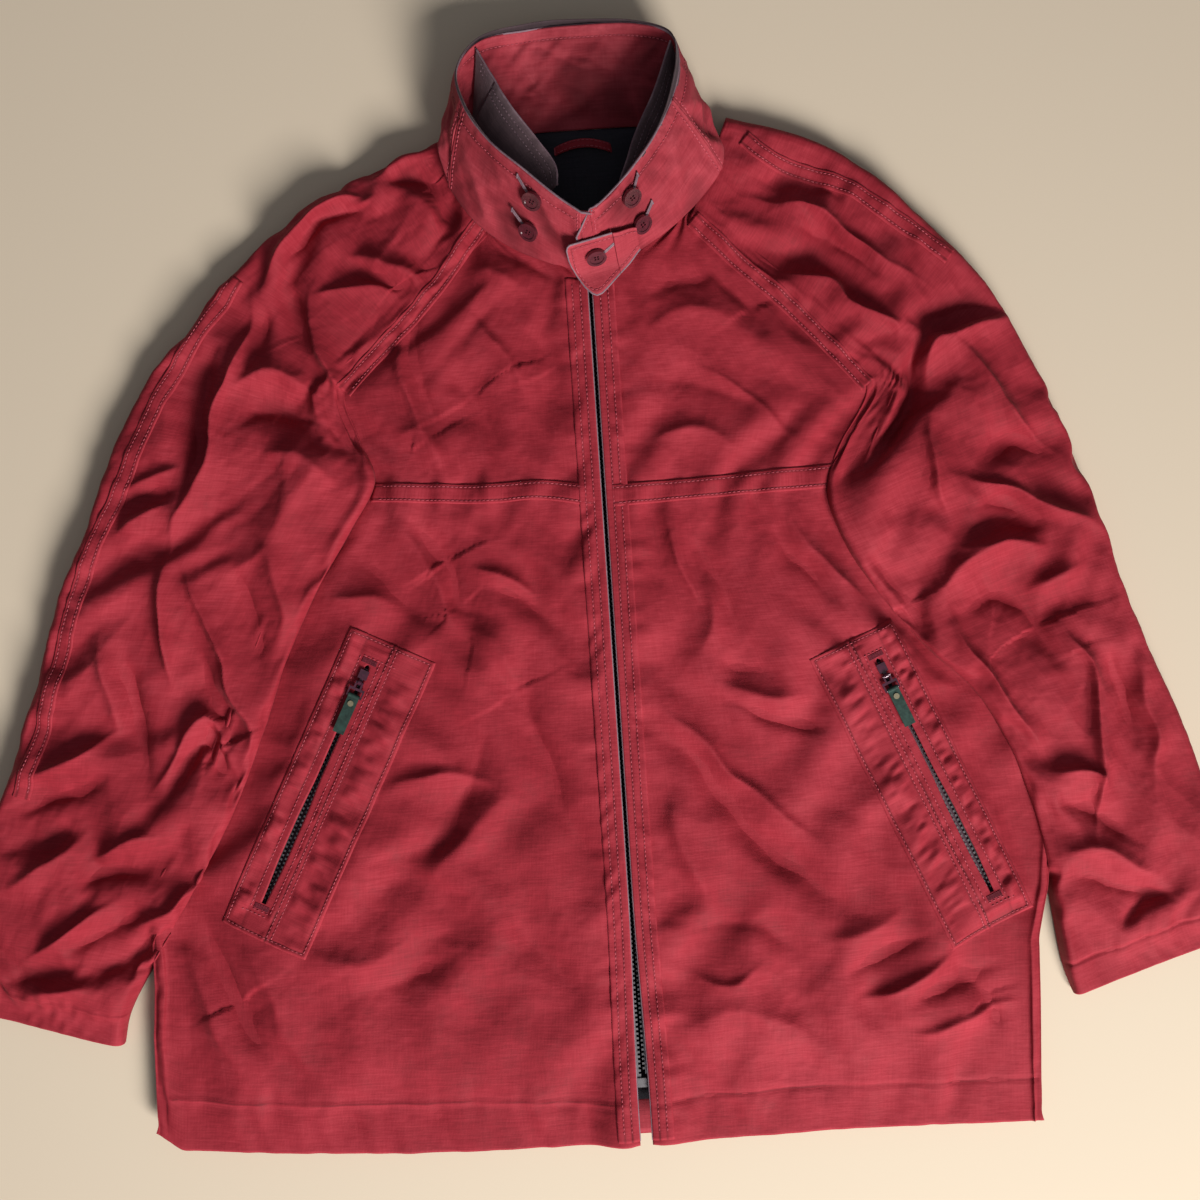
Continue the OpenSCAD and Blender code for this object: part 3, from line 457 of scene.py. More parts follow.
def shell(name, top, under, material, wear=None, weave=None, **kw):
    """Closed cloth: a fine top grid and the same or a coarser grid beneath it."""
    rows, cols = top.shape[:2]
    r2, c2 = under.shape[:2]
    k = (rows - 1) // (r2 - 1)
    n = rows * cols
    verts = np.vstack([top.reshape(-1, 3), under.reshape(-1, 3)])
    up = grid_faces(rows, cols)
    down = grid_faces(r2, c2)[:, ::-1] + n
    a, b = rim(rows, cols), rim(r2, c2) + n
    m = len(b)
    side = [a[(np.arange(m) * k + q) % len(a)] for q in range(k, -1, -1)]
    edge = np.stack(side + [b, np.roll(b, -1)], 1)
    worn_and_shaded = np.zeros(len(verts))
    if wear is not None:
        worn_and_shaded[:n] = np.ravel(wear)
    cloth = verts * MM
    if weave is not None:
        cloth = np.vstack([weave.reshape(-1, 3), weave[::k, ::k].reshape(-1, 3)]) * MM
    return mesh_from(name, verts, [up, down, edge], {"weave": cloth, "wear": worn_and_shaded}, material, **kw)


def surface_tree(grids):
    verts, faces, start = [], [], 0
    for g in grids:
        verts.append(g.reshape(-1, 3))
        faces.append(grid_faces(*g.shape[:2]) + start)
        start += verts[-1].shape[0]
    return BVHTree.FromPolygons(np.vstack(verts).tolist(), np.vstack(faces).tolist())


DOWN = Vector((0, 0, -1))


def heights(tree, x, y, missing=0.0):
    """Height of the top of a surface over points in plan."""
    out = np.full(np.size(x), float(missing))
    for k, (a, b) in enumerate(zip(np.ravel(x), np.ravel(y))):
        hit = tree.ray_cast(Vector((a, b, 400)), DOWN)
        if hit[0] is not None:
            out[k] = hit[0].z
    return out.reshape(np.shape(x))


def ribbon_plan(line, across):
    """Plan grid of a strip: one row for each point of the line, offset sideways by each of `across`."""
    t = np.gradient(line, axis=0)
    t /= np.linalg.norm(t, axis=1, keepdims=True)
    side = np.stack([-t[:, 1], t[:, 0]], 1)
    return line[:, None, :2] + side[:, None, :] * np.asarray(across, float)[None, :, None]


def between_plan(a, b, across):
    w = np.asarray(across, float)[None, :, None]
    return a[:, None, :2] * (1 - w) + b[:, None, :2] * w


def arc(line):
    return np.r_[0, np.cumsum(np.linalg.norm(np.diff(line, axis=0), axis=1))]


def applied(name, plan, lift, tree, material, wear=None, base=None, flat=None, rests=(), **kw):
    """A piece of cloth sewn on another: a plan grid dropped on the surface and raised by `lift`."""
    z = heights(tree, plan[..., 0], plan[..., 1], FRONT_Z) if base is None else base
    top = np.dstack([plan, z + lift])
    under = np.dstack([plan, z + np.minimum(lift - 0.7, -0.15)])
    s = arc(plan[:, plan.shape[1] // 2])
    w = arc(plan[plan.shape[0] // 2])
    weave = np.dstack(np.broadcast_arrays(w[None, :], s[:, None], z * 0)) + 7.0
    if np.cross(plan[1, 0] - plan[0, 0], plan[0, 1] - plan[0, 0]) > 0:
        top, under, weave = top[:, ::-1], under[:, ::-1], weave[:, ::-1]
        wear = None if wear is None else wear[:, ::-1]
    ob = shell(name, top, under, material, wear=wear, weave=weave, **kw)
    return ob, top


THREADS = {}


def stitches(group, points, pitch=3.4, length=2.5, radius=0.32, rise=0.22, material="thread", body="jacket"):
    """A row of stitches along a 3-D line in mm, kept with the others of its group."""
    s = arc(points)
    count = int(s[-1] / pitch)
    if count < 1:
        return
    start = (s[-1] - count * pitch) / 2 + (pitch - length) / 2 + np.arange(count) * pitch
    def at(v):
        return np.stack([np.interp(v, s, points[:, k]) for k in range(3)], 1)
    THREADS.setdefault((group, material, body), []).append((at(start), at(start + length / 2), at(start + length), radius, rise))


def sew(surface, group, line, **kw):
    """A stitch row that follows a plan line over a surface."""
    z = heights(surface, line[:, 0], line[:, 1], FRONT_Z)
    stitches(group, np.column_stack([line[:, :2], z]), **kw)


def make_stitches():
    sides = 6
    ring = np.arange(sides) * 2 * math.pi / sides
    for (group, material, body), rows in THREADS.items():
        verts = []
        for a, mid, b, radius, rise in rows:
            t = b - a
            t /= np.maximum(np.linalg.norm(t, axis=1, keepdims=True), 1e-9)
            up = np.array([0, 0, 1.0]) - t * t[:, 2:]
            up /= np.maximum(np.linalg.norm(up, axis=1, keepdims=True), 1e-9)
            side = np.cross(t, up)
            for centre, scale, lift in ((a, 0.15, -0.25), (a * 0.72 + mid * 0.28, 0.95, 0.6), (mid, 1.1, 1.0),
                                        (b * 0.72 + mid * 0.28, 0.95, 0.6), (b, 0.15, -0.25)):
                c = centre + up * rise * lift
                verts.append(c[:, None] + scale * radius * (np.cos(ring)[None, :, None] * side[:, None]
                                                            + np.sin(ring)[None, :, None] * up[:, None]))
        out, start = [], 0
        faces = []
        for k in range(0, len(verts), 5):
            block = np.stack(verts[k:k + 5], 1)
            n = block.shape[0]
            out.append(block.reshape(-1, 3))
            i = np.arange(n)[:, None, None] * 5 * sides + start
            r = np.arange(4)[None, :, None] * sides
            q = np.arange(sides)[None, None, :]
            q2 = (q + 1) % sides
            quads = np.stack([i + r + q, i + r + q2, i + r + sides + q2, i + r + sides + q], -1).reshape(-1, 4)
            faces.append(quads)
            start += n * 5 * sides
        mesh_from(f"stitches_{group}_{material}", np.vstack(out), [np.vstack(faces)], {}, material, body=body)


# ---------------------------------------------------------------- materials

MATERIALS = {}


class Nodes:
    """Small helper that adds and joins shader nodes."""

    def __init__(self, name, slot):
        self.mat = bpy.data.materials.new(name)
        self.mat.use_nodes = True
        self.tree = self.mat.node_tree
        self.shader = self.tree.nodes["Principled BSDF"]
        MATERIALS[name] = self.mat

    def add(self, kind, inputs=None, **props):
        node = self.tree.nodes.new("ShaderNode" + kind)
        for key, value in props.items():
            setattr(node, key, value)
        for key, value in (inputs or {}).items():
            if hasattr(value, "is_output"):
                self.tree.links.new(value, node.inputs[key])
            else:
                node.inputs[key].default_value = value
        return node

    def math(self, op, a, b=0.0):
        return self.add("Math", {0: a, 1: b}, operation=op).outputs[0]

    def mix(self, factor, a, b):
        node = self.add("Mix", {"Factor": factor, 6: a, 7: b}, data_type="RGBA")
        return node.outputs[2]

    def noise(self, vector, scale, detail=3.0, rough=0.55):
        return self.add("TexNoise", {"Vector": vector, "Scale": scale, "Detail": detail, "Roughness": rough}).outputs[0]

    def scaled(self, vector, by):
        return self.add("Mapping", {"Vector": vector, "Scale": by}).outputs[0]

    def levels(self, value, low, high, to_low=0.0, to_high=1.0):
        return self.add("MapRange", {0: value, 1: low, 2: high, 3: to_low, 4: to_high}).outputs[0]

    def bump(self, height, strength, distance, under=None):
        inputs = {"Height": height, "Strength": strength, "Distance": distance}
        if under is not None:
            inputs["Normal"] = under
        return self.add("Bump", inputs).outputs[0]

    def set(self, **sockets):
        for key, value in sockets.items():
            name = key.replace("_", " ")
            if hasattr(value, "is_output"):
                self.tree.links.new(value, self.shader.inputs[name])
            else:
                self.shader.inputs[name].default_value = value


def rgba(r, g, b):
    return (r, g, b, 1.0)


def cloth_material(name, slot, deep, mid, pale, rough=0.76, sheen=0.02, pitch=0.9, weave_depth=0.35, crumple=0.35):
    n = Nodes(name, slot)
    v = n.add("Attribute", attribute_name="weave").outputs["Vector"]
    wear = n.add("Attribute", attribute_name="wear").outputs["Fac"]
    place = n.add("TexCoord").outputs["Object"]
    broad = n.noise(place, 7.0, 2.0)
    mottle = n.noise(place, 42.0, 4.0, 0.6)
    fine = n.noise(place, 420.0, 3.0, 0.65)
    slub = n.noise(n.scaled(v, (55.0, 900.0, 900.0)), 1.0, 2.0)
    warp = n.noise(n.scaled(v, (900.0, 45.0, 900.0)), 1.0, 2.0)
    tone = n.math("ADD", n.levels(broad, 0.3, 0.7, -0.22, 0.22), n.levels(mottle, 0.3, 0.7, -0.16, 0.16))
    tone = n.math("ADD", tone, n.levels(slub, 0.3, 0.7, -0.17, 0.17))
    tone = n.math("ADD", tone, n.levels(warp, 0.3, 0.7, -0.08, 0.08))
    dark = n.levels(tone, -0.5, 0.0)
    light = n.levels(tone, 0.0, 0.6)
    colour = n.mix(light, n.mix(dark, rgba(*deep), rgba(*mid)), rgba(*pale))
    # The per-point attribute lightens the cloth towards pale where it is above zero: worn edges and seams, and on the
    # collar also painted highlight on the crests of the facets. Below zero it darkens the cloth towards a third of the
    # deep red: painted shade in stitch grooves, in the collar's facet hollows and behind the collar edge.
    rubbed_and_lit = n.math("MULTIPLY", wear, n.levels(fine, 0.35, 0.65, 0.25, 0.85))
    colour = n.mix(rubbed_and_lit, colour, rgba(*pale))
    colour = n.mix(n.levels(wear, 0.0, -1.0), colour, rgba(*[c * 0.35 for c in deep]))
    k = 0.314 / (pitch * MM)
    across = n.add("TexWave", {"Vector": v, "Scale": k, "Distortion": 1.5, "Detail Scale": 0.6}, bands_direction="X").outputs[1]
    down = n.add("TexWave", {"Vector": v, "Scale": k * 0.93, "Distortion": 1.5, "Detail Scale": 0.6},
                 bands_direction="Y").outputs[1]
    threads = n.math("ADD", n.math("MULTIPLY", across, down), n.math("MULTIPLY", slub, 0.8))
    soft = n.bump(n.noise(place, 95.0, 4.0, 0.6), crumple, 0.0012)
    normal = n.bump(threads, weave_depth, 0.00022, soft)
    n.set(Base_Color=colour, Roughness=n.levels(mottle, 0.3, 0.7, rough - 0.07, rough + 0.07), Normal=normal)
    n.set(Sheen_Weight=sheen, Sheen_Roughness=0.5, Specular_IOR_Level=0.20)
    n.shader.inputs["Sheen Tint"].default_value = rgba(*[min(1, 0.5 + c) for c in pale])


def metal_material(name, slot, colour, dark, rough, metallic=1.0, coat=0.0, scratches=0.25):
    n = Nodes(name, slot)
    place = n.add("TexCoord").outputs["Object"]
    grime = n.noise(place, 260.0, 4.0, 0.6)
    scratch = n.noise(n.scaled(place, (400.0, 4000.0, 1500.0)), 1.0, 3.0)
    n.set(Base_Color=n.mix(n.levels(grime, 0.35, 0.65), rgba(*dark), rgba(*colour)),
          Roughness=n.levels(grime, 0.3, 0.7, rough + 0.15, rough - 0.05),
          Normal=n.bump(scratch, scratches, 0.00004, n.bump(grime, 0.2, 0.0001)))
    n.set(Metallic=metallic, Coat_Weight=coat, Coat_Roughness=0.15)


def thread_material(name, slot, dark, light):
    n = Nodes(name, slot)
    place = n.add("TexCoord").outputs["Object"]
    ply = n.add("TexWave", {"Vector": place, "Scale": 520.0, "Distortion": 2.0}, bands_direction="DIAGONAL").outputs[1]
    tone = n.noise(place, 160.0, 3.0)
    n.set(Base_Color=n.mix(n.levels(tone, 0.3, 0.7), rgba(*dark), rgba(*light)), Roughness=0.7,
          Normal=n.bump(ply, 0.4, 0.0001), Specular_IOR_Level=0.3)


cloth_material("red_cotton", "red_cotton", (0.175, 0.007, 0.014), (0.262, 0.014, 0.025), (0.36, 0.032, 0.048))
cloth_material("red_faded", "red_cotton", (0.19, 0.012, 0.021), (0.285, 0.026, 0.039), (0.40, 0.056, 0.074))
cloth_material("mauve_edge", "storm_cloth", (0.10, 0.055, 0.075), (0.17, 0.10, 0.125), (0.27, 0.18, 0.21), pitch=0.7)
cloth_material("storm_cloth", "storm_cloth", (0.050, 0.030, 0.036), (0.092, 0.056, 0.064), (0.17, 0.11, 0.125),
               rough=0.85, sheen=0.2, pitch=0.7)
cloth_material("pocket_cloth", "pocket_cloth", (0.10, 0.055, 0.07), (0.16, 0.09, 0.115), (0.25, 0.16, 0.19), pitch=0.8)
cloth_material("lining", "lining", (0.008, 0.007, 0.012), (0.016, 0.013, 0.022), (0.034, 0.028, 0.042),
               rough=0.55, sheen=0.05, pitch=0.5, weave_depth=0.2)
cloth_material("zip_tape", "zip_tape", (0.03, 0.008, 0.012), (0.065, 0.016, 0.024), (0.11, 0.035, 0.045),
               rough=0.8, pitch=0.7, weave_depth=0.5)
thread_material("thread", "red_cotton", (0.30, 0.030, 0.050), (0.50, 0.095, 0.125))
thread_material("thread_deep", "red_cotton", (0.10, 0.008, 0.018), (0.20, 0.016, 0.032))
thread_material("thread_mauve", "storm_cloth", (0.12, 0.065, 0.085), (0.26, 0.17, 0.20))
metal_material("gunmetal", "gunmetal", (0.33, 0.31, 0.32), (0.11, 0.10, 0.105), 0.33)
metal_material("enamel", "enamel", (0.085, 0.018, 0.040), (0.035, 0.008, 0.018), 0.25, metallic=0.25, coat=0.6)
metal_material("green_tab", "green_tab", (0.010, 0.040, 0.030), (0.004, 0.016, 0.012), 0.75, metallic=0.0)
metal_material("green_edge", "green_tab", (0.10, 0.22, 0.18), (0.04, 0.12, 0.10), 0.5, metallic=0.0)
metal_material("pale_brass", "pale_brass", (0.78, 0.68, 0.45), (0.45, 0.36, 0.22), 0.28)
metal_material("button_red", "button_red", (0.085, 0.014, 0.022), (0.045, 0.008, 0.013), 0.14, metallic=0.0, coat=1.0, scratches=0.03)

# ---------------------------------------------------------------- the two fronts


def zip_gap(y):
    return 1.75 + 2.9 * smooth(-230, -400, y)


def pocket_local(x, y, side):
    """Place beside a pocket: across the zip towards the centre front, and along the zip."""
    (mx, my), turn = POCKET_RIGHT if side < 0 else POCKET_LEFT
    a = math.radians(turn)
    dx, dy = x - mx, y - my
    return -side * (dx * math.cos(a) + dy * math.sin(a)), -dx * math.sin(a) + dy * math.cos(a)


def pocket_plan(u, v, side):
    (mx, my), turn = POCKET_RIGHT if side < 0 else POCKET_LEFT
    a = math.radians(turn)
    u = -side * u
    return mx + u * math.cos(a) - v * math.sin(a), my + u * math.sin(a) + v * math.cos(a)


def pocket_zone(x, y, side):
    u, v = pocket_local(x, y, side)
    return (1 - smooth(16, 40, np.abs(u - 5))) * (1 - smooth(100, 124, np.abs(v)))


def blurred(a, times):
    for _ in range(times):
        q = np.pad(a, 1, mode="edge")
        a = (q[1:-1, 1:-1] * 2 + q[2:, 1:-1] + q[:-2, 1:-1] + q[1:-1, 2:] + q[1:-1, :-2]) / 6
    return a


def body_relief(x, y, side):
    """Folds and facets of a front, fading out at the zip, the pocket, the band and the side."""
    table = np.array(SIDE_RIGHT if side < 0 else SIDE_LEFT, float)
    d_side = side * (np.interp(y, table[:, 0], table[:, 1]) - x)
    off_zip = smooth(14, 40, np.abs(x - ZIP_X))
    fold = fold_height(x, y, BODY_FOLDS, 1.35) * (1 - 0.85 * np.exp(-((y - 71) / 11) ** 2))
    crisp = 4.0 * crumple(x, y, 85, 310 + side, 1.9, -0.8) + 2.2 * crumple(x, y, 34, 320 + side, 1.8, -0.6)
    fold += crisp * (1 - 0.7 * np.exp(-((y - 71) / 14) ** 2)) * smooth(-415, -380, y)
    return fold * off_zip * smooth(2, 27, d_side) * (1 - pocket_zone(x, y, side))


def body_grid(side, rows=104, cols=48):
    neck = np.array(NECK_RIGHT if side < 0 else NECK_LEFT, float)
    edge = np.array(SIDE_RIGHT if side < 0 else SIDE_LEFT, float)
    hem = np.array(HEM_RIGHT[::-1] if side < 0 else HEM_LEFT, float)
    level = np.linspace(-415, 282, rows)
    outer = np.interp(level, edge[:, 0], edge[:, 1])
    inner = np.where(level < 236, ZIP_X + side * zip_gap(level), np.interp(level - 6, neck[:, 0], neck[:, 1]))
    turn = 5
    flat_cols = cols - turn
    roll = 10.0
    grid = np.zeros((rows, cols, 3))
    last = outer - side * roll
    grid[:, :flat_cols, 0] = inner[:, None] + (last - inner)[:, None] * np.linspace(0, 1, flat_cols)
    phi = np.linspace(0, math.pi / 2, turn + 1)[1:]
    grid[:, flat_cols:, 0] = last[:, None] + side * roll * np.sin(phi)
    x = grid[..., 0]
    hem_y = np.interp(np.abs(x - ZIP_X), np.abs(hem[:, 0] - ZIP_X), hem[:, 1])
    y = level[:, None] + (hem_y + 415) * (1 - smooth(-415, -250, level))[:, None]
    grid[..., 1] = y
    d_side = np.abs(outer[:, None] - x)
    top = FRONT_Z - 9 * (1 - smooth(0, 80, d_side))
    top -= 9 * (1 - smooth(-420, -330, y)) * smooth(6, 70, np.abs(x - ZIP_X))
    relief = blurred(body_relief(x, y, side), 2)
    top += relief
    zone = pocket_zone(x, y, side)
    top = top * (1 - zone) + 23.5 * zone
    z = top.copy()
    z[:, flat_cols:] = 2.5 + (top[:, flat_cols - 1:flat_cols] - 2.5) * np.cos(phi)
    grid[..., 2] = z
    fine = finer(grid, 4)
    return grid, body_relief(fine[..., 0], fine[..., 1], side) - finer(relief[..., None], 4)[..., 0]


def body_cloth(side):
    grid, crest = body_grid(side)
    x, y = grid[..., 0], grid[..., 1]

    def holding(x, y, shape):
        hold = np.zeros(shape)
        hold[:, :1] = 1
        hold[:, -3:] = 1
        hold[-1] = 1
        hold[0] = 0.9
        hold = np.maximum(hold, 0.85 * np.exp(-((y - 71) / 9) ** 2))
        hold = np.maximum(hold, pocket_zone(x, y, side))
        return np.clip(np.maximum(hold, 1 - smooth(8, 24, np.abs(x - ZIP_X))), 0, 1)

    out = drape(grid, fold_metric(x, y, 0.016, 3 + side), holding(x, y, x.shape), np.maximum(grid[..., 2] - 6, 15.8),
                steps=380, bend=0.010, bed=0.0022, seed=5 + side, kick=0.5)
    coarse = out
    mid = finer(out, 2)
    x, y = mid[..., 0], mid[..., 1]
    mid = drape(mid, fold_metric(x, y, 0.013, 13 + side), holding(x, y, x.shape), np.maximum(mid[..., 2] - 3, 15.5),
                steps=170, bend=0.010, bed=0.003, seed=25 + side, kick=0.25)
    return coarse, mid, crest


def pucker(x, y, line, reach, amp, period, seed):
    """Small ripples that run out from a stitched line."""
    d, s, length = to_line(x, y, line)
    wave = noise2(s * 1.0, d * 0.18, period, seed)
    return amp * wave * np.exp(-(d / reach) ** 2) * smooth(0, 15, s) * smooth(0, 15, length - s)


def groove(x, y, line, depth, half):
    d, s, length = to_line(x, y, line)
    return -depth * np.exp(-(d / half) ** 2)


def lift_z(grid, dz):
    n = normals(grid)
    return grid + n * dz[..., None]


def finish_body(mid, crest, side):
    fine = finer(mid, 2)
    fine[..., 2] += crest * 1.15
    x, y = fine[..., 0], fine[..., 1]
    hem = spline(HEM_LINE[side], step=6)
    near = np.abs(x - ZIP_X)
    dz = pucker(x, y, hem, 14, 1.0, 9, 51 + side) + groove(x, y, hem, 0.9, 1.6)
    below = smooth(0, 12, -(y - np.interp(x, np.sort(hem[:, 0]), hem[np.argsort(hem[:, 0]), 1])))
    dz += below * 1.3 * noise2(x + 0.3 * y, y * 0.15, 11, 61 + side)
    dz *= smooth(3, 12, near)
    for k, at in enumerate((16.5,)):
        line = np.array([[ZIP_X + side * (at + zip_gap(b)), b] for b in np.linspace(-415, 230, 60)])
        dz += pucker(x, y, line, 13, 1.2, 8, 71 + side) * smooth(9, 15, near)
    for at in CHEST[side]:
        dz += pucker(x, y, spline(at, step=6), 12, 1.3, 9, 75 + side)
    dz += pucker(x, y, spline(RAGLAN[side], step=6), 13, 1.5, 10, 81 + side)
    rough = crumple(x, y, 17, 330 + side, 1.5, -0.7) + 0.6 * crumple(x, y, 9, 340 + side, 1.3, 0.6)
    dz += 1.15 * rough * smooth(14, 30, near) * (0.55 + 0.45 * noise2(x, y, 60, 350 + side))
    u, v = pocket_local(x, y, side)
    edge = np.maximum(np.abs(u - 11) - 35, np.abs(v + 2) - 122)
    dz += 0.9 * noise2(x, y, 12, 85 + side) * np.exp(-(np.maximum(edge, 0) / 8) ** 2) * (edge > -1)
    fine = lift_z(fine, dz)
    return fine, hem


# ---------------------------------------------------------------- the two sleeves


def sleeve_cloth(side, body_tree, rows=118, cols=40):
    pairs = SLEEVE_RIGHT if side < 0 else SLEEVE_LEFT
    t = np.linspace(0, 1, rows)
    knots = np.linspace(0, 1, len(pairs))
    lines = []
    for k in (0, 1):
        line = spline([p[k] for p in pairs], count=600)
        at = [np.argmin(np.hypot(*(line - np.array(p[k])).T)) for p in pairs]
        s = np.interp(t, knots, at)
        lines.append(np.stack([np.interp(s, np.arange(600), line[:, 0]), np.interp(s, np.arange(600), line[:, 1])], 1))
    outer, inner = lines
    tip = 6 / (len(pairs) - 1)
    loose = smooth(tip - 0.10, tip - 0.02, t)
    turn = 4
    flat = cols - 2 * turn
    across = inner - outer
    width = np.linalg.norm(across, axis=1)
    unit = across / width[:, None]
    roll_out, roll_in = 11.0, 8.0
    grid = np.zeros((rows, cols, 3))
    phi = np.linspace(math.pi / 2, 0, turn + 1)[:-1]
    ahead = np.linspace(0, 1, turn + 1)[1:]
    dist = np.zeros((rows, cols))
    dist[:, :turn] = roll_out * (1 - np.sin(phi))
    dist[:, turn:turn + flat] = roll_out + (width - roll_out - roll_in)[:, None] * np.linspace(0, 1, flat)
    dist[:, turn + flat:] = (width - roll_in)[:, None] + roll_in * (
        np.sin(ahead * math.pi / 2) * loose[:, None] + ahead * (1 - loose[:, None]))
    grid[..., :2] = outer[:, None] + unit[:, None] * dist[..., None]
    x, y = grid[..., 0], grid[..., 1]
    beneath = heights(body_tree, x, y, 0.0)
    sewn = np.maximum(beneath[:, -1], 12) + 0.9
    soft = beneath.copy()
    for _ in range(3):
        soft = np.maximum.reduce([soft, np.roll(soft, 1, 1) - 3, np.roll(soft, -1, 1) - 3])
    soft = blurred(soft, 10)
    lumps = np.maximum(soft, np.where(soft > 4, beneath, 0))
    cuff = smooth(0.9, 1.0, t)
    z_out = 17 + 4 * smooth(0.15, 0.4, t) - 8 * cuff
    on_body = 1 - smooth(0.72, 0.9, t)
    z_in = 19 + on_body * 5 + 5 * np.exp(-((t - tip - 0.02) / 0.10) ** 2) - 5 * cuff
    z_in = np.where(loose > 0, z_in * loose + sewn * (1 - loose), sewn)
    f = dist / width[:, None]
    top = z_out[:, None] + (z_in - z_out)[:, None] * smooth(0.05, 0.95, f)
    top += 3.5 * np.sin(math.pi * np.clip(f, 0, 1)) * (1 - cuff)[:, None]

    def relief_at(x, y, dist, width, loose, cuff):
        fold = fold_height(x, y, SLEEVE_FOLDS, 1.6)
        fold *= smooth(0, 10, dist) * (smooth(0, 10, width - dist) * (1 - loose) + loose)
        crisp = 7.0 * crumple(x, y, 66, 360 + side, 1.9, -1.0 * side) + 3.0 * crumple(x, y, 30, 370 + side, 1.7, -0.9 * side)
        return fold + crisp * smooth(0, 14, dist) * smooth(0, 14, width - dist) * (1 - cuff)

    every = np.dstack(np.broadcast_arrays(x, y, dist, width[:, None], loose[:, None], cuff[:, None]))
    relief = blurred(relief_at(*np.moveaxis(every, 2, 0)), 2)
    crest = relief_at(*np.moveaxis(finer(every, 4), 2, 0)) - finer(relief[..., None], 4)[..., 0]
    top += relief
    least = lumps + 1.6
    z = least + np.where(top - least > 3, top - least, 3 * np.exp((np.minimum(top - least, 3) - 3) / 4.0))
    z[:, :turn] = 2.5 + (top[:, turn:turn + 1] - 2.5) * np.cos(phi)
    base = np.maximum(beneath[:, -1] + 1.0, 2.5)
    curl = top[:, turn + flat - 1:turn + flat]
    rolled = base[:, None] + (curl - base[:, None]) * np.cos(ahead * math.pi / 2)
    z[:, turn + flat:] = rolled * loose[:, None] + (curl + (sewn[:, None] - curl) * ahead) * (1 - loose[:, None])
    grid[..., 2] = z

    def holding(shape):
        hold = np.zeros(shape)
        r = shape[0] // rows
        hold[:, :2 * r] = 1
        hold[:, -2 * r:] = 1
        hold[0] = 1
        hold[-1:] = 0.9
        return hold

    floor = np.maximum(np.minimum(z - 12, 7), np.minimum(lumps + 1.3, z))
    floor[:, :turn] = 1
    floor[:, -turn:] = np.minimum(floor[:, -turn:], z[:, -turn:])
    out = drape(grid, fold_metric(x, y, 0.032, 23 + side), holding(x.shape), floor,
                steps=400, bend=0.012, bed=0.0014, seed=40 + side, kick=0.9)
    mid = finer(out, 2)
    x, y = mid[..., 0], mid[..., 1]
    below = heights(body_tree, x, y, 0.0)
    floor = np.maximum(np.minimum(mid[..., 2] - 3, 12), np.where(below > 0, below + 0.9, 2))
    floor = np.minimum(floor, mid[..., 2])
    mid = drape(mid, fold_metric(x, y, 0.022, 33 + side), holding(x.shape), floor,
                steps=180, bend=0.010, bed=0.0025, seed=45 + side, kick=0.35)
    return out, mid, crest


def finish_sleeve(mid, crest, side):
    fine = finer(mid, 2)
    fine[..., 2] += crest * 1.15 * smooth(6, 12, fine[..., 2])
    x, y = fine[..., 0], fine[..., 1]
    depth = 25.0
    rows = fine.shape[0]
    mid_col = fine[:, fine.shape[1] // 2]
    s = arc(mid_col)
    from_end = (s[-1] - s)[:, None]
    dz = 0.9 * noise2(np.arange(fine.shape[1])[None, :] * 1.5, from_end * 0.2, 11, 91 + side) * np.exp(
        -((from_end - depth) / 12) ** 2)
    dz -= 1.0 * np.exp(-((from_end - depth) / 1.7) ** 2)
    dz = dz + pucker(x, y, spline(OUTER_SEAM[side], step=6), 15, 1.5, 9, 95 + side)
    dz += pucker(x, y, spline(RAGLAN[side], step=6), 13, 1.2, 10, 97 + side)
    rough = crumple(x, y, 17, 380 + side, 1.5, -0.8 * side) + 0.6 * crumple(x, y, 9, 390 + side, 1.3, 0.4)
    dz += 1.7 * rough * smooth(30, 50, from_end) * (0.6 + 0.4 * noise2(x, y, 60, 395 + side))
    edge = smooth(0, 12, np.minimum(np.arange(fine.shape[1]), np.arange(fine.shape[1])[::-1]))[None, :]
    return lift_z(fine, dz * edge), rows - 1 - int(np.argmin(np.abs(s[::-1][0] - s - depth)[::-1]))


body = {side: body_cloth(side) for side in (-1, 1)}
coarse_tree = surface_tree([body[-1][1], body[1][1]])
sleeves = {side: sleeve_cloth(side, coarse_tree) for side in (-1, 1)}
WORD = {-1: "right", 1: "left"}


def on_grid(grid):
    """Cloth coordinates from the grid's own arc lengths, so that the weave runs with the cut."""
    s = arc(grid[:, grid.shape[1] // 2])
    w = arc(grid[grid.shape[0] // 2])
    return np.dstack(np.broadcast_arrays(w[None, :], s[:, None], grid[..., 2] * 0 + 3.0))


def upright(top, under):
    """Grids turned so that their faces look up."""
    if normals(top)[..., 2].mean() < 0:
        return top[:, ::-1], under[:, ::-1], True
    return top, under, False


def cloth_piece(name, top, under, material, wear, rests, nodes, thick=1.2, keep=None, **kw):
    weave = on_grid(top)
    low = under - normals(under) * np.sign(normals(under)[..., 2].mean()) * thick
    t, u, turned = upright(top, low)
    if keep is None:
        keep = np.ones((under.shape[0] - 1, under.shape[1] - 1), bool)
    if turned:
        wear, weave, keep = wear[:, ::-1], weave[:, ::-1], keep[:, ::-1]
    ob = masked_shell(name, t, u, keep, material, wear=wear, weave=weave, **kw)
    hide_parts(*nodes)
    return ob


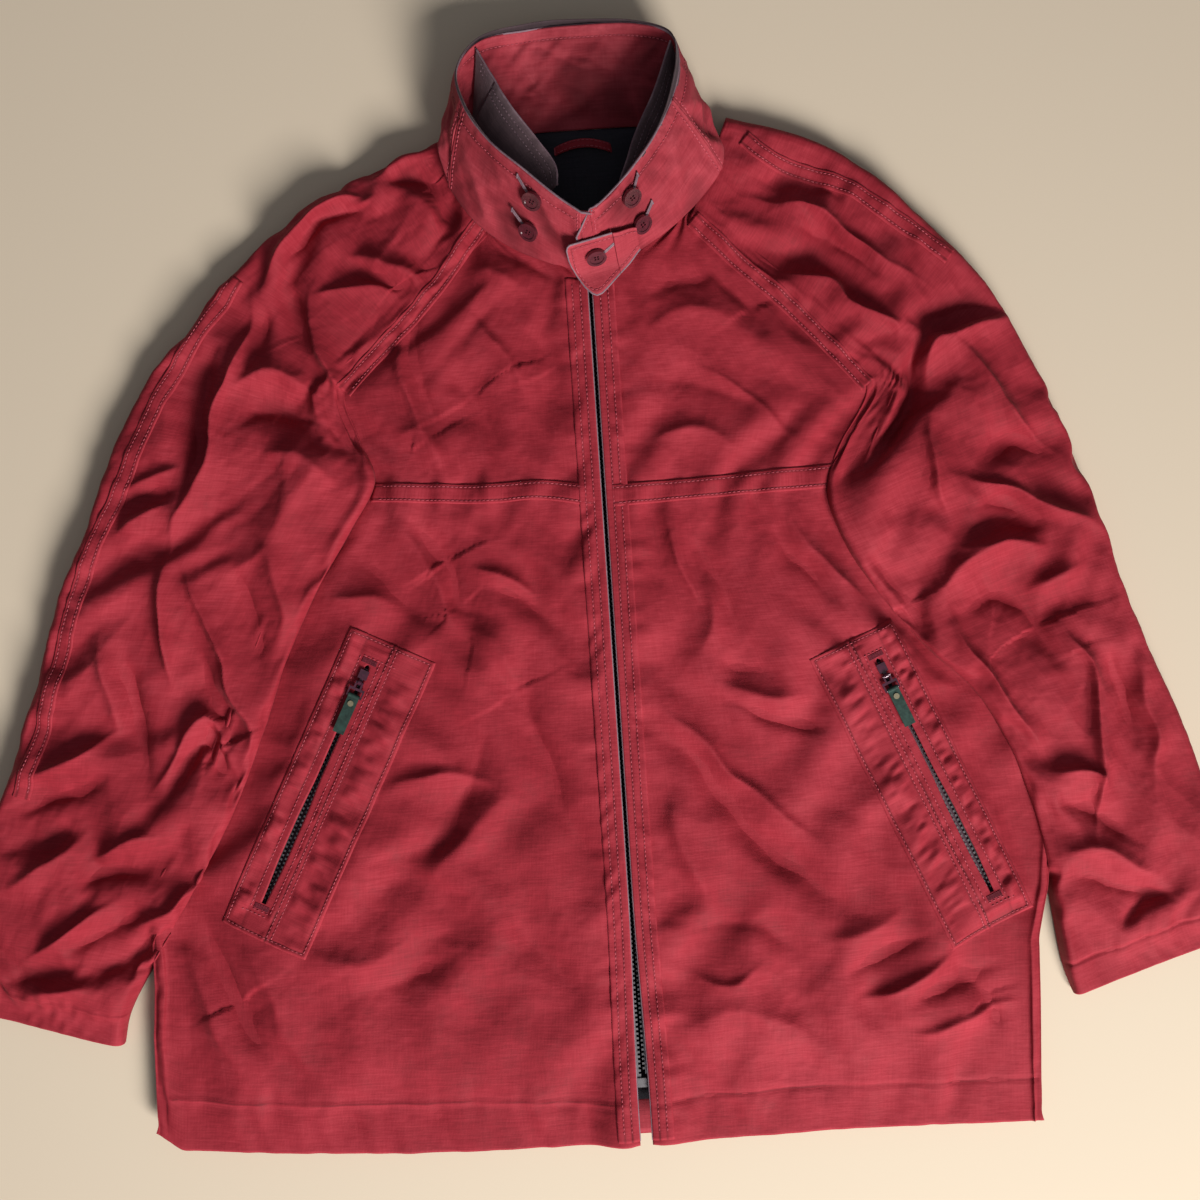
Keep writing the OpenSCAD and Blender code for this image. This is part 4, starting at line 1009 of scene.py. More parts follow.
def masked_shell(name, top, under, keep, material, wear=None, weave=None, **kw):
    """Closed cloth with openings: keep marks the coarse faces that are there."""
    rows, cols = top.shape[:2]
    r2, c2 = under.shape[:2]
    k = (rows - 1) // (r2 - 1)
    n = rows * cols
    fine_keep = np.repeat(np.repeat(keep, k, 0), k, 1)
    up = grid_faces(rows, cols)[fine_keep.ravel()]
    down = grid_faces(r2, c2)[:, ::-1][keep.ravel()] + n
    fine = np.arange(n).reshape(rows, cols)
    low = np.arange(r2 * c2).reshape(r2, c2) + n
    pad = np.pad(keep, 1)
    steps = np.arange(k + 1)
    walls = []
    for i, j in np.argwhere(keep):
        if not pad[i, j + 1]:
            walls.append(np.r_[fine[i * k, j * k + steps[::-1]], low[i, j], low[i, j + 1]])
        if not pad[i + 2, j + 1]:
            walls.append(np.r_[fine[(i + 1) * k, j * k + steps], low[i + 1, j + 1], low[i + 1, j]])
        if not pad[i + 1, j]:
            walls.append(np.r_[fine[i * k + steps, j * k], low[i + 1, j], low[i, j]])
        if not pad[i + 1, j + 2]:
            walls.append(np.r_[fine[i * k + steps[::-1], (j + 1) * k], low[i, j + 1], low[i + 1, j + 1]])
    verts = np.vstack([top.reshape(-1, 3), under.reshape(-1, 3)])
    worn_and_shaded = np.zeros(len(verts))
    if wear is not None:
        worn_and_shaded[:n] = np.ravel(wear)
    cloth = verts * MM
    if weave is not None:
        cloth = np.vstack([weave.reshape(-1, 3), weave[::k, ::k].reshape(-1, 3)]) * MM
    faces = [up, down, np.array(walls)]
    used = np.unique(np.concatenate([f.ravel() for f in faces]))
    renumber = np.full(len(verts), -1)
    renumber[used] = np.arange(len(used))
    return mesh_from(name, verts[used], [renumber[f] for f in faces], {"weave": cloth[used], "wear": worn_and_shaded[used]}, material, **kw)


bodies_fine, sleeves_fine = {}, {}
for side in (-1, 1):
    word = WORD[side]
    fine, hem_line = finish_body(body[side][1], body[side][2], side)
    bodies_fine[side] = fine
    x, y = fine[..., 0], fine[..., 1]
    hem_d = to_line(x, y, hem_line)[0]
    # The dark line on the hem stitching is painted shade in its groove; the lighter band beside it and the bottom rows
    # are wear.
    wear = 0.35 * np.exp(-((hem_d - 2) / 4) ** 2) - 0.8 * np.exp(-(hem_d / 1.1) ** 2)
    wear += 0.6 * np.exp(-np.minimum(np.arange(fine.shape[0]), 9999)[:, None] / 2.0)
    for line in CHEST[side] + (RAGLAN[side],):
        wear += 0.35 * np.exp(-(to_line(x, y, spline(line, step=8))[0] / 6) ** 2)
    low = body[side][1]
    mid_u, mid_v = pocket_local(*[(low[1:, 1:, c] + low[:-1, :-1, c]) / 2 for c in (0, 1)], side)
    cloth_piece(f"front_{word}_cloth", fine, low, "red_cotton", wear, [],
                [f"front_upper_{word}", f"front_lower_{word}", f"side_seam_{word}"],
                keep=(np.abs(mid_u) > 10) | (np.abs(mid_v) > 101))
    fine, cuff_row = finish_sleeve(sleeves[side][1], sleeves[side][2], side)
    sleeves_fine[side] = fine
    x, y = fine[..., 0], fine[..., 1]
    end = fine.shape[0] - 1 - np.arange(fine.shape[0])[:, None]
    wear = 0.7 * np.exp(-end / 2.5) + 0.3 * np.exp(-((end - 16) / 4.0) ** 2) + 0 * x
    wear = wear + 0.4 * np.exp(-(to_line(x, y, spline(OUTER_SEAM[side], step=8))[0] / 6) ** 2)
    cloth_piece(f"sleeve_front_{word}_cloth", fine, sleeves[side][1], "red_cotton", wear, [],
                [f"sleeve_front_{word}", f"sleeve_inner_seam_{word}"])

body_top = surface_tree([bodies_fine[-1], bodies_fine[1]])
sleeve_top = surface_tree([sleeves_fine[-1], sleeves_fine[1]])
all_top = surface_tree([bodies_fine[-1], bodies_fine[1], sleeves_fine[-1], sleeves_fine[1]])

# ---------------------------------------------------------------- back, linings and facings


def flat_layer(name, plan, z, thick, material, nodes, ripple=0.5, seed=1):
    x, y = plan[..., 0], plan[..., 1]
    top = np.dstack([plan, z + ripple * noise2(x, y, 45, seed, 2)])
    wear = np.zeros(x.shape)
    weave = on_grid(top)
    if normals(top)[..., 2].mean() < 0:
        top, weave = top[:, ::-1], weave[:, ::-1]
    under = top.copy()
    under[..., 2] = np.maximum(top[..., 2] - thick, 0.02)
    ob = shell(name, top, under, material, wear=wear, weave=weave)
    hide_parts(*nodes)
    return ob


def side_to_side(levels, margin, cols=60):
    right = np.array(SIDE_RIGHT, float)
    left = np.array(SIDE_LEFT, float)
    a = np.interp(levels, right[:, 0], right[:, 1]) + margin
    b = np.interp(levels, left[:, 0], left[:, 1]) - margin
    x = a[:, None] + (b - a)[:, None] * np.linspace(0, 1, cols)
    hem = np.array(HEM_RIGHT + HEM_LEFT[1:], float)
    y = levels[:, None] + (np.interp(x, hem[:, 0], hem[:, 1]) + 415) * (1 - smooth(-415, -300, levels))[:, None]
    return np.dstack([x, y])


flat_layer("back_cloth", side_to_side(np.linspace(-414, 340, 96), 1.5), 1.1, 1.0, "red_cotton", ["back_panel"],
           ripple=0.25, seed=7)
flat_layer("hem_back_facing", side_to_side(np.linspace(-413, -386, 8), 8), 2.3, 0.8, "red_faded", ["hem_back"],
           ripple=0.2, seed=8)
lining_plan = side_to_side(np.linspace(-388, 262, 80), 16)
flat_layer("back_lining_cloth", lining_plan, 3.3, 0.7, "lining", ["back_lining"], ripple=0.5, seed=9)
NECK_BACK = np.array([(262, -90, 138), (290, -82, 132), (320, -84, 134), (336, -76, 126), (347, -56, 108), (350, -30, 82)], float)
lv = np.linspace(262, 350, 40)
a, b = np.interp(lv, NECK_BACK[:, 0], NECK_BACK[:, 1]), np.interp(lv, NECK_BACK[:, 0], NECK_BACK[:, 2])
neck_x = a[:, None] + (b - a)[:, None] * np.linspace(0, 1, 70)
neck_y = lv[:, None] + 0 * neck_x
flat_layer("neck_lining_cloth", np.dstack([neck_x, neck_y]), 4.4 + 1.5 * noise2(neck_x, neck_y, 38, 15, 2)
           + 4 * smooth(325, 350, neck_y), 0.7, "lining", [], ripple=0.3, seed=10)
for side in (-1, 1):
    word = WORD[side]
    g = body[side][0]
    rows, cols = g.shape[:2]
    part = g[4:rows - 8, 6:cols - 6]
    z = np.minimum(part[..., 2] - 3.2, 14.6)
    flat_layer(f"front_lining_{word}_cloth", part[..., :2], z, 0.7, "lining", [f"front_lining_{word}"], ripple=0.2,
               seed=11 + side)
    strip = bodies_fine[side][:20:2, ::2]
    flat_layer(f"hem_{word}_facing", strip[..., :2], np.maximum(strip[..., 2] - 2.4, 3.0), 0.8, "red_faded",
               [f"hem_front_{word}"], ripple=0.1, seed=12 + side)
    pairs = SLEEVE_RIGHT if side < 0 else SLEEVE_LEFT
    s = sleeves[side][0]
    inner = s[:, -1, :2] - (s[:, -1, :2] - s[:, 0, :2]) * 0.10
    outer = s[:, 0, :2] + (s[:, -1, :2] - s[:, 0, :2]) * 0.012
    flat_layer(f"sleeve_back_{word}_cloth", between_plan(outer, inner, np.linspace(0, 1, 30)), 1.2, 1.0, "red_cotton",
               [f"sleeve_back_{word}"], ripple=0.25, seed=17 + side)
    cuff = sleeves_fine[side][-17::2, 8:-8:2]
    flat_layer(f"cuff_{word}_facing", cuff[..., :2], np.maximum(cuff[..., 2] - 2.2, 2.6), 0.8, "red_faded",
               [f"cuff_{word}"], ripple=0.1, seed=19 + side)

# ---------------------------------------------------------------- parts sewn on the fronts


def tube(points, radius, sides=8):
    """Round tube along a line in mm: its points and faces."""
    t = np.gradient(points, axis=0)
    t /= np.maximum(np.linalg.norm(t, axis=1, keepdims=True), 1e-9)
    up = np.array([0, 0, 1.0]) - t * t[:, 2:]
    up /= np.maximum(np.linalg.norm(up, axis=1, keepdims=True), 1e-9)
    out = np.cross(t, up)
    ring = np.arange(sides) * 2 * math.pi / sides
    r = np.broadcast_to(np.asarray(radius, float), (len(points),))[:, None, None]
    verts = points[:, None] + r * (np.cos(ring)[None, :, None] * out[:, None] + np.sin(ring)[None, :, None] * up[:, None])
    n = len(points)
    q = np.arange(sides)
    i = np.arange(n - 1)[:, None] * sides
    quads = np.stack(np.broadcast_arrays(i + q, i + (q + 1) % sides, i + sides + (q + 1) % sides, i + sides + q), -1)
    caps = np.array([q[::-1], q + (n - 1) * sides])
    return verts.reshape(-1, 3), quads.reshape(-1, 4), caps


def tubes(name, lines, radius, material, sides=8, **kw):
    verts, quads, caps, start = [], [], [], 0
    for line in lines:
        v, q, c = tube(np.asarray(line, float), radius, sides)
        verts.append(v)
        quads.append(q + start)
        caps.append(c + start)
        start += len(v)
    v = np.vstack(verts)
    wear = 0.5 + 0.5 * noise2(v[:, 0] + v[:, 2], v[:, 1], 9, 5, 2)
    return mesh_from(name, v, [np.vstack(quads), np.vstack(caps)], {"wear": np.clip(wear, 0, 1)}, material, **kw)


def strip_profile(across):
    """Height of a sewn strip over its width: thin at the turned edges and full between the stitch rows."""
    w = np.asarray(across, float)
    u = (w - w[0]) / (w[-1] - w[0])
    edge = np.minimum(u, 1 - u) * abs(w[-1] - w[0])
    return 0.55 + 0.6 * smooth(0, 1.6, edge) - 0.42 * np.exp(-((edge - 2.6) / 0.8) ** 2)


def seam_ribbon(name, line, half, tree, nodes, rests, seed, fat=1.0, material="red_cotton", rows=2):
    across = np.linspace(-half, half, 13)
    line = spline(line, step=1.6)
    plan = ribbon_plan(line, across)
    s = arc(line)
    lift = strip_profile(across)[None, :] * fat + 0 * plan[..., 0]
    wave = noise2(s[:, None], across[None, :] * 0.35, 8.5, seed)
    lift = lift + 0.7 * wave * smooth(0, 8, s)[:, None] * smooth(0, 8, s[-1] - s)[:, None]
    wear = 0.1 + 0.6 * smooth(half - 1.6, half, np.abs(across))[None, :] + 0.3 * np.clip(wave, 0, 1)
    # Painted shade: the cloth darkens along both stitch rows, for the shade in their grooves.
    wear = wear - 1.1 * np.exp(-((half - 2.6 - np.abs(across)) / 0.7) ** 2)[None, :]
    ob, top = applied(name, plan, np.maximum(lift, 0.35), tree, material, wear=wear, rests=rests)
    if nodes:
        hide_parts(*nodes)
    for k in ((-1, 1) if rows == 2 else (1,)):
        at = ribbon_plan(line, [k * (half - 2.6)])[:, 0]
        z = heights(surface_tree([top]), at[:, 0], at[:, 1], FRONT_Z)
        stitches(name, np.column_stack([at, z])[3:-3])
    return ob


for side in (-1, 1):
    word = WORD[side]
    cloth = f"front_{word}_cloth"
    sleeve = f"sleeve_front_{word}_cloth"
    seam_ribbon(f"raglan_seam_{word}", RAGLAN[side], 6.2, all_top, [], (cloth, sleeve), 101 + side, fat=0.9)
    seam_ribbon(f"outer_seam_{word}", OUTER_SEAM[side], 6.2, sleeve_top, [f"sleeve_outer_seam_{word}"], (sleeve,), 104 + side)

    upper = spline(CHEST[side][0], count=120)
    lower = spline(CHEST[side][1], count=120)
    w = np.linspace(0, 1, 13)
    plan = between_plan(upper, lower, w)
    s = arc(upper)
    lift = strip_profile(w * 17)[None, :] + 0.3 * noise2(s[:, None], w[None, :] * 8, 10, 107 + side)
    lift *= smooth(-2, 12, np.abs(plan[..., 0] - ZIP_X))
    # Painted shade: darker along the two stitch rows; the lighter turned edges are wear.
    wear = 0.1 + 0.6 * smooth(7, 8.5, np.abs(w - 0.5) * 17)[None, :] - 1.0 * np.exp(
        -((np.abs(w - 0.5) * 17 - 5.9) / 0.7) ** 2)[None, :] + 0 * lift
    ob, top = applied(f"chest_band_{word}_strip", plan, np.clip(lift, 0.5, 1.6), body_top, "red_cotton", wear=wear, rests=(cloth,))
    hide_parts(f"chest_band_{word}")
    tree = surface_tree([top])
    for part, by in ((upper, 2.6 / 17), (lower, 2.6 / 17)):
        other = lower if part is upper else upper
        sew(tree, f"chest_{word}", (part * (1 - by) + other * by)[4:-3])

    level = np.linspace(-418, 234, 330)
    edge_x = ZIP_X + side * (zip_gap(level) + 0.2)
    across = np.linspace(0, 16.5, 13)
    plan = np.dstack([edge_x[:, None] + side * across[None, :], level[:, None] + 0 * across])
    full = 1.05 - 0.35 * smooth(14.5, 16.5, across) - 0.3 * np.exp(-((across - 5.5) / 0.8) ** 2) - 0.3 * np.exp(
        -((across - 11.5) / 0.8) ** 2)
    slant = level[:, None] + across[None, :] * 0.9
    ripple = noise2(slant, across[None, :] * 0.5, 7.5, 111 + side) + 0.5 * noise2(slant, across[None, :] * 0.4, 16, 113 + side)
    lift = full[None, :] + 0.95 * ripple * smooth(0.5, 9, across)[None, :]
    near = smooth(4, 9, across)[None, :]
    lift = np.where(near < 1, np.minimum(lift, 1.15 + 0.9 * near), lift)
    wear = 0.1 + 0.5 * smooth(15, 16.5, across)[None, :] + 0.5 * (1 - smooth(0, 1.6, across))[None, :] + 0.4 * np.clip(ripple, 0, 1)
    # Painted shade: darker along the stitch rows at 5.5 and 11.5 mm.
    wear = wear - 0.9 * (np.exp(-((across - 5.5) / 0.7) ** 2) + np.exp(-((across - 11.5) / 0.7) ** 2))[None, :]
    base = heights(body_top, plan[..., 0] + side * 0.4, plan[..., 1], FRONT_Z)
    ob, top = applied(f"placket_{word}_strip", plan, np.clip(lift, 0.4, 2.4), None, "red_cotton", wear=np.clip(wear, -1, 1),
                      base=base, rests=(cloth,))
    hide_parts(f"placket_{word}")
    tree = surface_tree([top])
    for at in (5.5, 11.5):
        line = np.stack([edge_x + side * at, level], 1)
        sew(tree, f"placket_{word}", line[3:-2])
    line = np.stack([edge_x + side * 16.0, level], 1)
    edge = np.stack([edge_x - side * 0.1, level, base[:, 0] + 0.45], 1)
    tubes(f"placket_{word}_piping", [edge], 0.62, "mauve_edge")

    # Pocket patch, slot, lips, tape, bag, bars
    v = np.linspace(-124, 120, 160)
    cols = np.r_[np.linspace(-24, -0.5, 15), np.linspace(0.5, 46, 27)]
    half = 1.55 + 1.15 * smooth(10, -30, v) * smooth(-98, -60, v)
    half = np.where(np.abs(v) < 98, half, 0.02)
    u = np.where(cols[None, :] < 0, -24 + (cols[None, :] + 24) / 23.5 * (24 - half[:, None]),
                 half[:, None] + (cols[None, :] - 0.5) / 45.5 * (46 - half[:, None]))
    vv = v[:, None] + 0 * u
    vv = vv * (1 + 0.0 * u)
    px, py = pocket_plan(u, vv, side)
    base = heights(body_top, px, py, FRONT_Z)
    rim_d = np.minimum(np.minimum(u + 24, 46 - u), np.minimum(v[:, None] + 124, 120 - v[:, None]))
    slot_d = np.maximum(np.abs(u) - half[:, None], np.abs(vv) - 98)
    lift = 0.35 + 0.75 * smooth(0, 1.8, rim_d)
    base = np.where(slot_d < 13, np.maximum(base, 23.6), base)
    rows_at = [(rim_d, 3.0, 0.9, 0.6), (u, 12.6, 0.8, 0.8), (u, 16.4, 0.8, 0.6), (u, -8.0, 0.8, 0.5), (u, 8.0, 0.7, 0.3)]
    rowlines = [h * np.exp(-((a - c) / w_) ** 2) for a, c, w_, h in rows_at]
    lift = lift - sum(rowlines) + 0.5 * np.exp(-((u - 14.5) / 1.3) ** 2)
    between = smooth(-23, -16, u) * (1 - smooth(-13, -7, u)) + 0.7 * smooth(16, 24, u) * (1 - smooth(30, 45, u)) + 0.5 * (
        smooth(7, 9.5, u) * (1 - smooth(10.5, 13, u)))
    ripple = noise2(vv + 0.25 * u, u * 0.40, 7.5, 121 + side, 2) + 0.5 * noise2(vv - 0.4 * u, u * 0.6, 17, 123 + side)
    lift = lift + ripple * (0.4 + 3.0 * between) * smooth(0, 4, rim_d) + 0.8 * between
    lift = np.where(slot_d < 7, np.clip(lift, 0.5, 1.35), np.clip(lift, 0.3, 4.4))
    z = base + lift
    z = np.where(slot_d < 7, np.minimum(z, 25.1), z)
    top = np.dstack([px, py, z])
    under = np.dstack([px, py, np.minimum(base - 0.1, z - 0.5)])
    keep = np.ones((159, 41), bool)
    keep[np.abs((v[1:] + v[:-1]) / 2) < 98, 14] = False
    wear = 0.1 + 0.6 * (1 - smooth(0, 1.6, rim_d)) + 0.9 * (1 - smooth(0, 1.3, slot_d)) + 0.5 * np.exp(-((u - 14.5) / 1.0) ** 2)
    # Painted shade: darker along every stitch row of the patch, with the grooves that the rows press in.
    wear = wear + 0.3 * np.clip(ripple, 0, 1) * between - 1.5 * sum(rowlines)
    weave = np.dstack([u + 30, vv, z * 0])
    t2, u2, w2, k2 = top, under, weave, keep
    if normals(top)[..., 2].mean() < 0:
        t2, u2, w2, k2, wear = top[:, ::-1], under[:, ::-1], weave[:, ::-1], keep[:, ::-1], wear[:, ::-1]
    ob = masked_shell(f"pocket_patch_{word}_cloth", t2, u2, k2, "red_cotton", wear=np.clip(wear, -1, 1), weave=w2)
    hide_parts(f"pocket_patch_{word}")
    tree = surface_tree([top])

    def patch_line(points):
        a = spline(points, step=2.0)
        return np.stack(pocket_plan(a[:, 0], a[:, 1], side), 1)

    group = f"pocket_{word}"
    for a, b in (((43, -121), (43, 117)), ((12.6, -121), (12.6, 117)), ((16.4, -121), (16.4, 117)), ((-21, -121), (-21, 117)),
                 ((-21, -121), (43, -121)), ((-21, 117), (43, 117)), ((8, -104), (8, 104)), ((-8, -104), (-8, 104)),
                 ((-8, 104), (22, 104)), ((-8, -104), (8, -104)), ((-14, -107), (6, -107))):
        sew(tree, group, patch_line([a, b]))
    for end in (-101, 101):
        for k in np.linspace(-1.6, 1.6, 5):
            sew(tree, group + "_bar", patch_line([(-6, end + k), (6, end + k)]), pitch=0.9, length=1.5, radius=0.35,
                material="thread_deep")
    for k in (-1, 1):
        g = np.linspace(-104, 104, 120)
        c = np.array([3.2, 5, 7, 9, 11, 13, 14.6]) * k
        tx, ty = pocket_plan(c[None, :] + 0 * g[:, None], g[:, None] + 0 * c[None, :], side)
        ob, _ = applied(f"pocket_tape_{word}_{'inner' if k > 0 else 'outer'}", np.dstack([tx, ty]), 0.0 * tx + 0.4, None,
                        "zip_tape", base=19.5 + 0 * tx, flat=(0.0125, 0.208))
    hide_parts(f"pocket_zip_tapes_{word}")
    c, g = np.linspace(-15, 90, 36), np.linspace(-106, 106, 60)
    bx, by = pocket_plan(c[None, :] + 0 * g[:, None], g[:, None] + 0 * c[None, :], side)
    flat_layer(f"pocket_bag_{word}_cloth", np.dstack([bx, by]), 15.7, 0.7, "pocket_cloth", [f"pocket_bag_{word}"], ripple=0.15,
               seed=131 + side)

# Zip tapes of the front
for side in (-1, 1):
    level = np.linspace(-379, 281, 260)
    c = np.array([3.2, 5, 7, 9, 11, 13, 14.8])
    plan = np.dstack([ZIP_X + side * (c[None, :] + 0 * level[:, None]), level[:, None] + 0 * c[None, :]])
    ob, _ = applied(f"front_tape_{WORD[side]}", plan, 0.0 * plan[..., 0] + 0.4, None, "zip_tape", base=19.5 + 0 * plan[..., 0],
                    flat=(0.0125, 0.66))
    if side < 0:
        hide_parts("front_zip_tapes")

# ---------------------------------------------------------------- collar

COLLAR_FOOT = np.array([
    [18.5, 238, 24.6], [-5, 246, 24.6], [-33, 259, 24.6], [-60, 281, 24.6], [-78, 309, 24.6], [-79, 332, 20],
    [-60, 346, 10], [-20, 350, 6], [26, 351, 5.5], [72, 350, 6], [112, 346, 10], [129, 332, 20], [128, 309, 24.6],
    [107, 283, 24.6], [80, 262, 24.6], [52, 246, 24.6], [27.5, 238, 24.6]])
COLLAR_EDGE = np.array([
    [19.5, 268, 79], [2, 282, 78], [-20, 303, 76], [-44, 327, 71], [-61, 356, 62], [-66, 388, 48], [-48, 414, 32],
    [-10, 423, 23], [26, 425, 21], [68, 423, 23], [96, 410, 32], [100, 382, 48], [92, 352, 60], [76, 322, 69],
    [58, 298, 75], [42, 281, 78], [26.5, 268, 79]])
STORM = {
    -1: (np.array([[-58, 350, 17], [-70, 330, 22], [-69, 308, 27], [-52, 286, 28], [-31, 271, 29]]),
         np.array([[-50, 407, 36], [-28, 362, 46], [-10, 334, 50], [3, 312, 52], [4, 296, 56]])),
    1: (np.array([[110, 350, 17], [120, 330, 22], [119, 308, 27], [99, 287, 28], [76, 271, 29]]),
        np.array([[95, 403, 37], [80, 364, 46], [65, 335, 50], [56, 312, 52], [50, 295, 56]]))}


def stations(points, s):
    """Smooth line through stations, read at fractions of a station number."""
    n = 24
    p = np.asarray(points, float)
    q = np.vstack([2 * p[0] - p[1], p, 2 * p[-1] - p[-2]])
    i = np.clip(np.floor(s).astype(int), 0, len(p) - 2)
    t = (s - i)[:, None]
    a, b, c, d = q[i], q[i + 1], q[i + 2], q[i + 3]
    return 0.5 * (2 * b + (c - a) * t + (2 * a - 5 * b + 4 * c - d) * t ** 2 + (3 * b - a - 3 * c + d) * t ** 3)


def collar_surface(s, v, bulge=3.0):
    foot, edge = stations(COLLAR_FOOT, s), stations(COLLAR_EDGE, s)
    along = stations(COLLAR_FOOT, np.clip(s + 0.05, 0, 16)) - stations(COLLAR_FOOT, np.clip(s - 0.05, 0, 16))
    n = np.cross(edge - foot, along)
    n /= np.linalg.norm(n, axis=1, keepdims=True)
    v = np.asarray(v)
    p = foot[:, None] + (edge - foot)[:, None] * v[None, :, None]
    return p + n[:, None] * (bulge * 4 * v * (1 - v))[None, :, None], n


def two_faced(name, outer, inner, material, wear, weave, body="jacket", **kw):
    """Closed cloth from two matching grids, outer facing away from inner."""
    n = normals(outer)
    if float(((outer - inner) * n).sum()) < 0:
        outer, inner, weave = outer[:, ::-1], inner[:, ::-1], weave[:, ::-1]
        wear = wear[:, ::-1]
    rows, cols = outer.shape[:2]
    m = rows * cols
    verts = np.vstack([outer.reshape(-1, 3), inner.reshape(-1, 3)])
    up, down = grid_faces(rows, cols), grid_faces(rows, cols)[:, ::-1] + m
    a = rim(rows, cols)
    side = np.stack([np.roll(a, -1), a, a + m, np.roll(a, -1) + m], 1)
    cloth = np.vstack([weave.reshape(-1, 3)] * 2) * MM
    worn_and_shaded = np.r_[np.ravel(wear), np.ravel(wear)]
    return mesh_from(name, verts, [up, down, side], {"weave": cloth, "wear": worn_and_shaded}, material, body=body, **kw)


collar_rows = 52
vv = np.linspace(0, 1, collar_rows)
for name, a, b, seed in (("right", 0.0, 4.0, 1), ("back", 4.0, 12.0, 2), ("left", 12.0, 16.0, 3)):
    count = 96 if name != "back" else 230
    s = np.linspace(a, b, count)
    outer, n = collar_surface(s, vv)
    foot_arc = arc(collar_surface(s, np.array([0.5]))[0][:, 0])
    if a > 0:
        foot_arc = foot_arc + 40
    high = np.linalg.norm(stations(COLLAR_EDGE, s) - stations(COLLAR_FOOT, s), axis=1)
    from_edge = (1 - vv)[None, :] * high[:, None]
    x = foot_arc[:, None]
    ends = smooth(0, 8, foot_arc - foot_arc[0])[:, None] * smooth(0, 8, foot_arc[-1] - foot_arc)[:, None]
    diag = noise2(x + from_edge * 0.8, from_edge * 0.35, 17, 140 + seed, 2)
    broad = noise2(x, from_edge, 42, 150 + seed)
    comb = noise2(x, from_edge * 0.12, 5.5, 160 + seed)
    comb_foot = noise2(x, from_edge * 0.15, 7.5, 170 + seed)
    facets = crumple(x, from_edge + 0 * x, 34, 175 + seed, 1.8, 0.7) + 0.5 * crumple(x, from_edge + 0 * x, 15, 177 + seed, 1.6, 0.5)
    dz = (3.4 if name == "back" else 1.6) * diag * smooth(0, 14, from_edge) + 1.5 * broad
    dz += (11.0 if name == "back" else 5.0) * facets * smooth(6, 20, from_edge)
    dz += 1.1 * comb * np.exp(-((from_edge - 5) / 5) ** 2)
    dz += 0.4 * comb_foot * np.exp(-((vv[None, :] * high[:, None] - 4) / 7) ** 2)
    dz *= (0.25 + 0.75 * ends) * (0.15 + 0.85 * smooth(0, 0.25, vv))[None, :]
    slack = 0.9
    dip = 0.6 * np.exp(-((from_edge - 8.5) / 1.1) ** 2)
    swell = 0.5 * np.exp(-((from_edge - 3.5) / 3) ** 2)
    seam_x = np.minimum(foot_arc - foot_arc[0], foot_arc[-1] - foot_arc)[:, None]
    if name != "back":
        seam_x = np.where(np.arange(count)[:, None] > count / 2, foot_arc[-1] - x, 99) if name == "right" else np.where(
            np.arange(count)[:, None] < count / 2, x - foot_arc[0], 99)
    ridge = 0.7 * np.exp(-(seam_x / 1.2) ** 2) - 0.35 * np.exp(-((seam_x - 3.0) / 0.8) ** 2)
    outside = outer + n[:, None] * (slack * dz - dip + 0.3 * swell + ridge)[..., None]
    inside = outer - n[:, None] * (2.3 - slack * dz - dip + 0.3 * swell)[..., None]
    inside[:, 0, 2] = np.maximum(inside[:, 0, 2], 4)
    wear = 0.8 * np.exp(-(from_edge / 3) ** 2) + 0.35 * np.clip(comb, 0, 1) * np.exp(-((from_edge - 4) / 4) ** 2)
    # Painted light and shade: lighter on the crests of the facets and diagonal wrinkles and darker in their hollows,
    # and a dark line of painted shade in the stitch groove at 8.5 mm; the edge, comb and seam terms are wear.
    wear = wear + 0.22 + 0.5 * np.exp(-(seam_x / 2) ** 2) + 1.2 * facets + 0.35 * diag - 0.8 * np.exp(-((from_edge - 8.5) / 0.8) ** 2)
    weave = np.dstack([x + 0 * from_edge, from_edge, 0 * from_edge + 5])
    ob = two_faced(f"collar_{name}_cloth", outside, inside, "red_faded", np.clip(wear, -1, 1), weave)
    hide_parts(f"collar_{name}")
    for grid, sign in ((outside, 1), (inside, -1)):
        for depth in (8.5,):
            line = []
            for k in range(count):
                line.append([np.interp(depth, from_edge[k, ::-1], grid[k, ::-1, c]) for c in range(3)])
            stitches(f"collar_{name}", np.array(line)[2:-2] + n[2:-2] * sign * 0.1, rise=0.1)
        if name != "back":
            fr = 3 if name == "right" else -4
            stitches(f"collar_{name}", grid[fr] + n[fr] * sign * 0.1, rise=0.1)
    for seam_side in ((-1,) if name == "right" else (0,) if name == "left" else (0, -1)):
        k = 3 if seam_side == 0 else count - 4
        stitches(f"collar_{name}", outside[k] + n[k] * 0.12, rise=0.1)

line, n = collar_surface(np.linspace(0, 16, 420), np.array([1.0]))
top_edge = line[:, 0] - n * 1.15
lap = np.array([math.cos(math.radians(8)), -math.sin(math.radians(8)), 0])
lead = top_edge[0] + lap * np.arange(7, 0, -1)[:, None] * 1.1 - np.array([0, 0, 1]) * np.arange(7, 0, -1)[:, None] * 0.15
tubes("collar_piping", [np.vstack([lead, top_edge[:-1]])], 0.95, "mauve_edge")

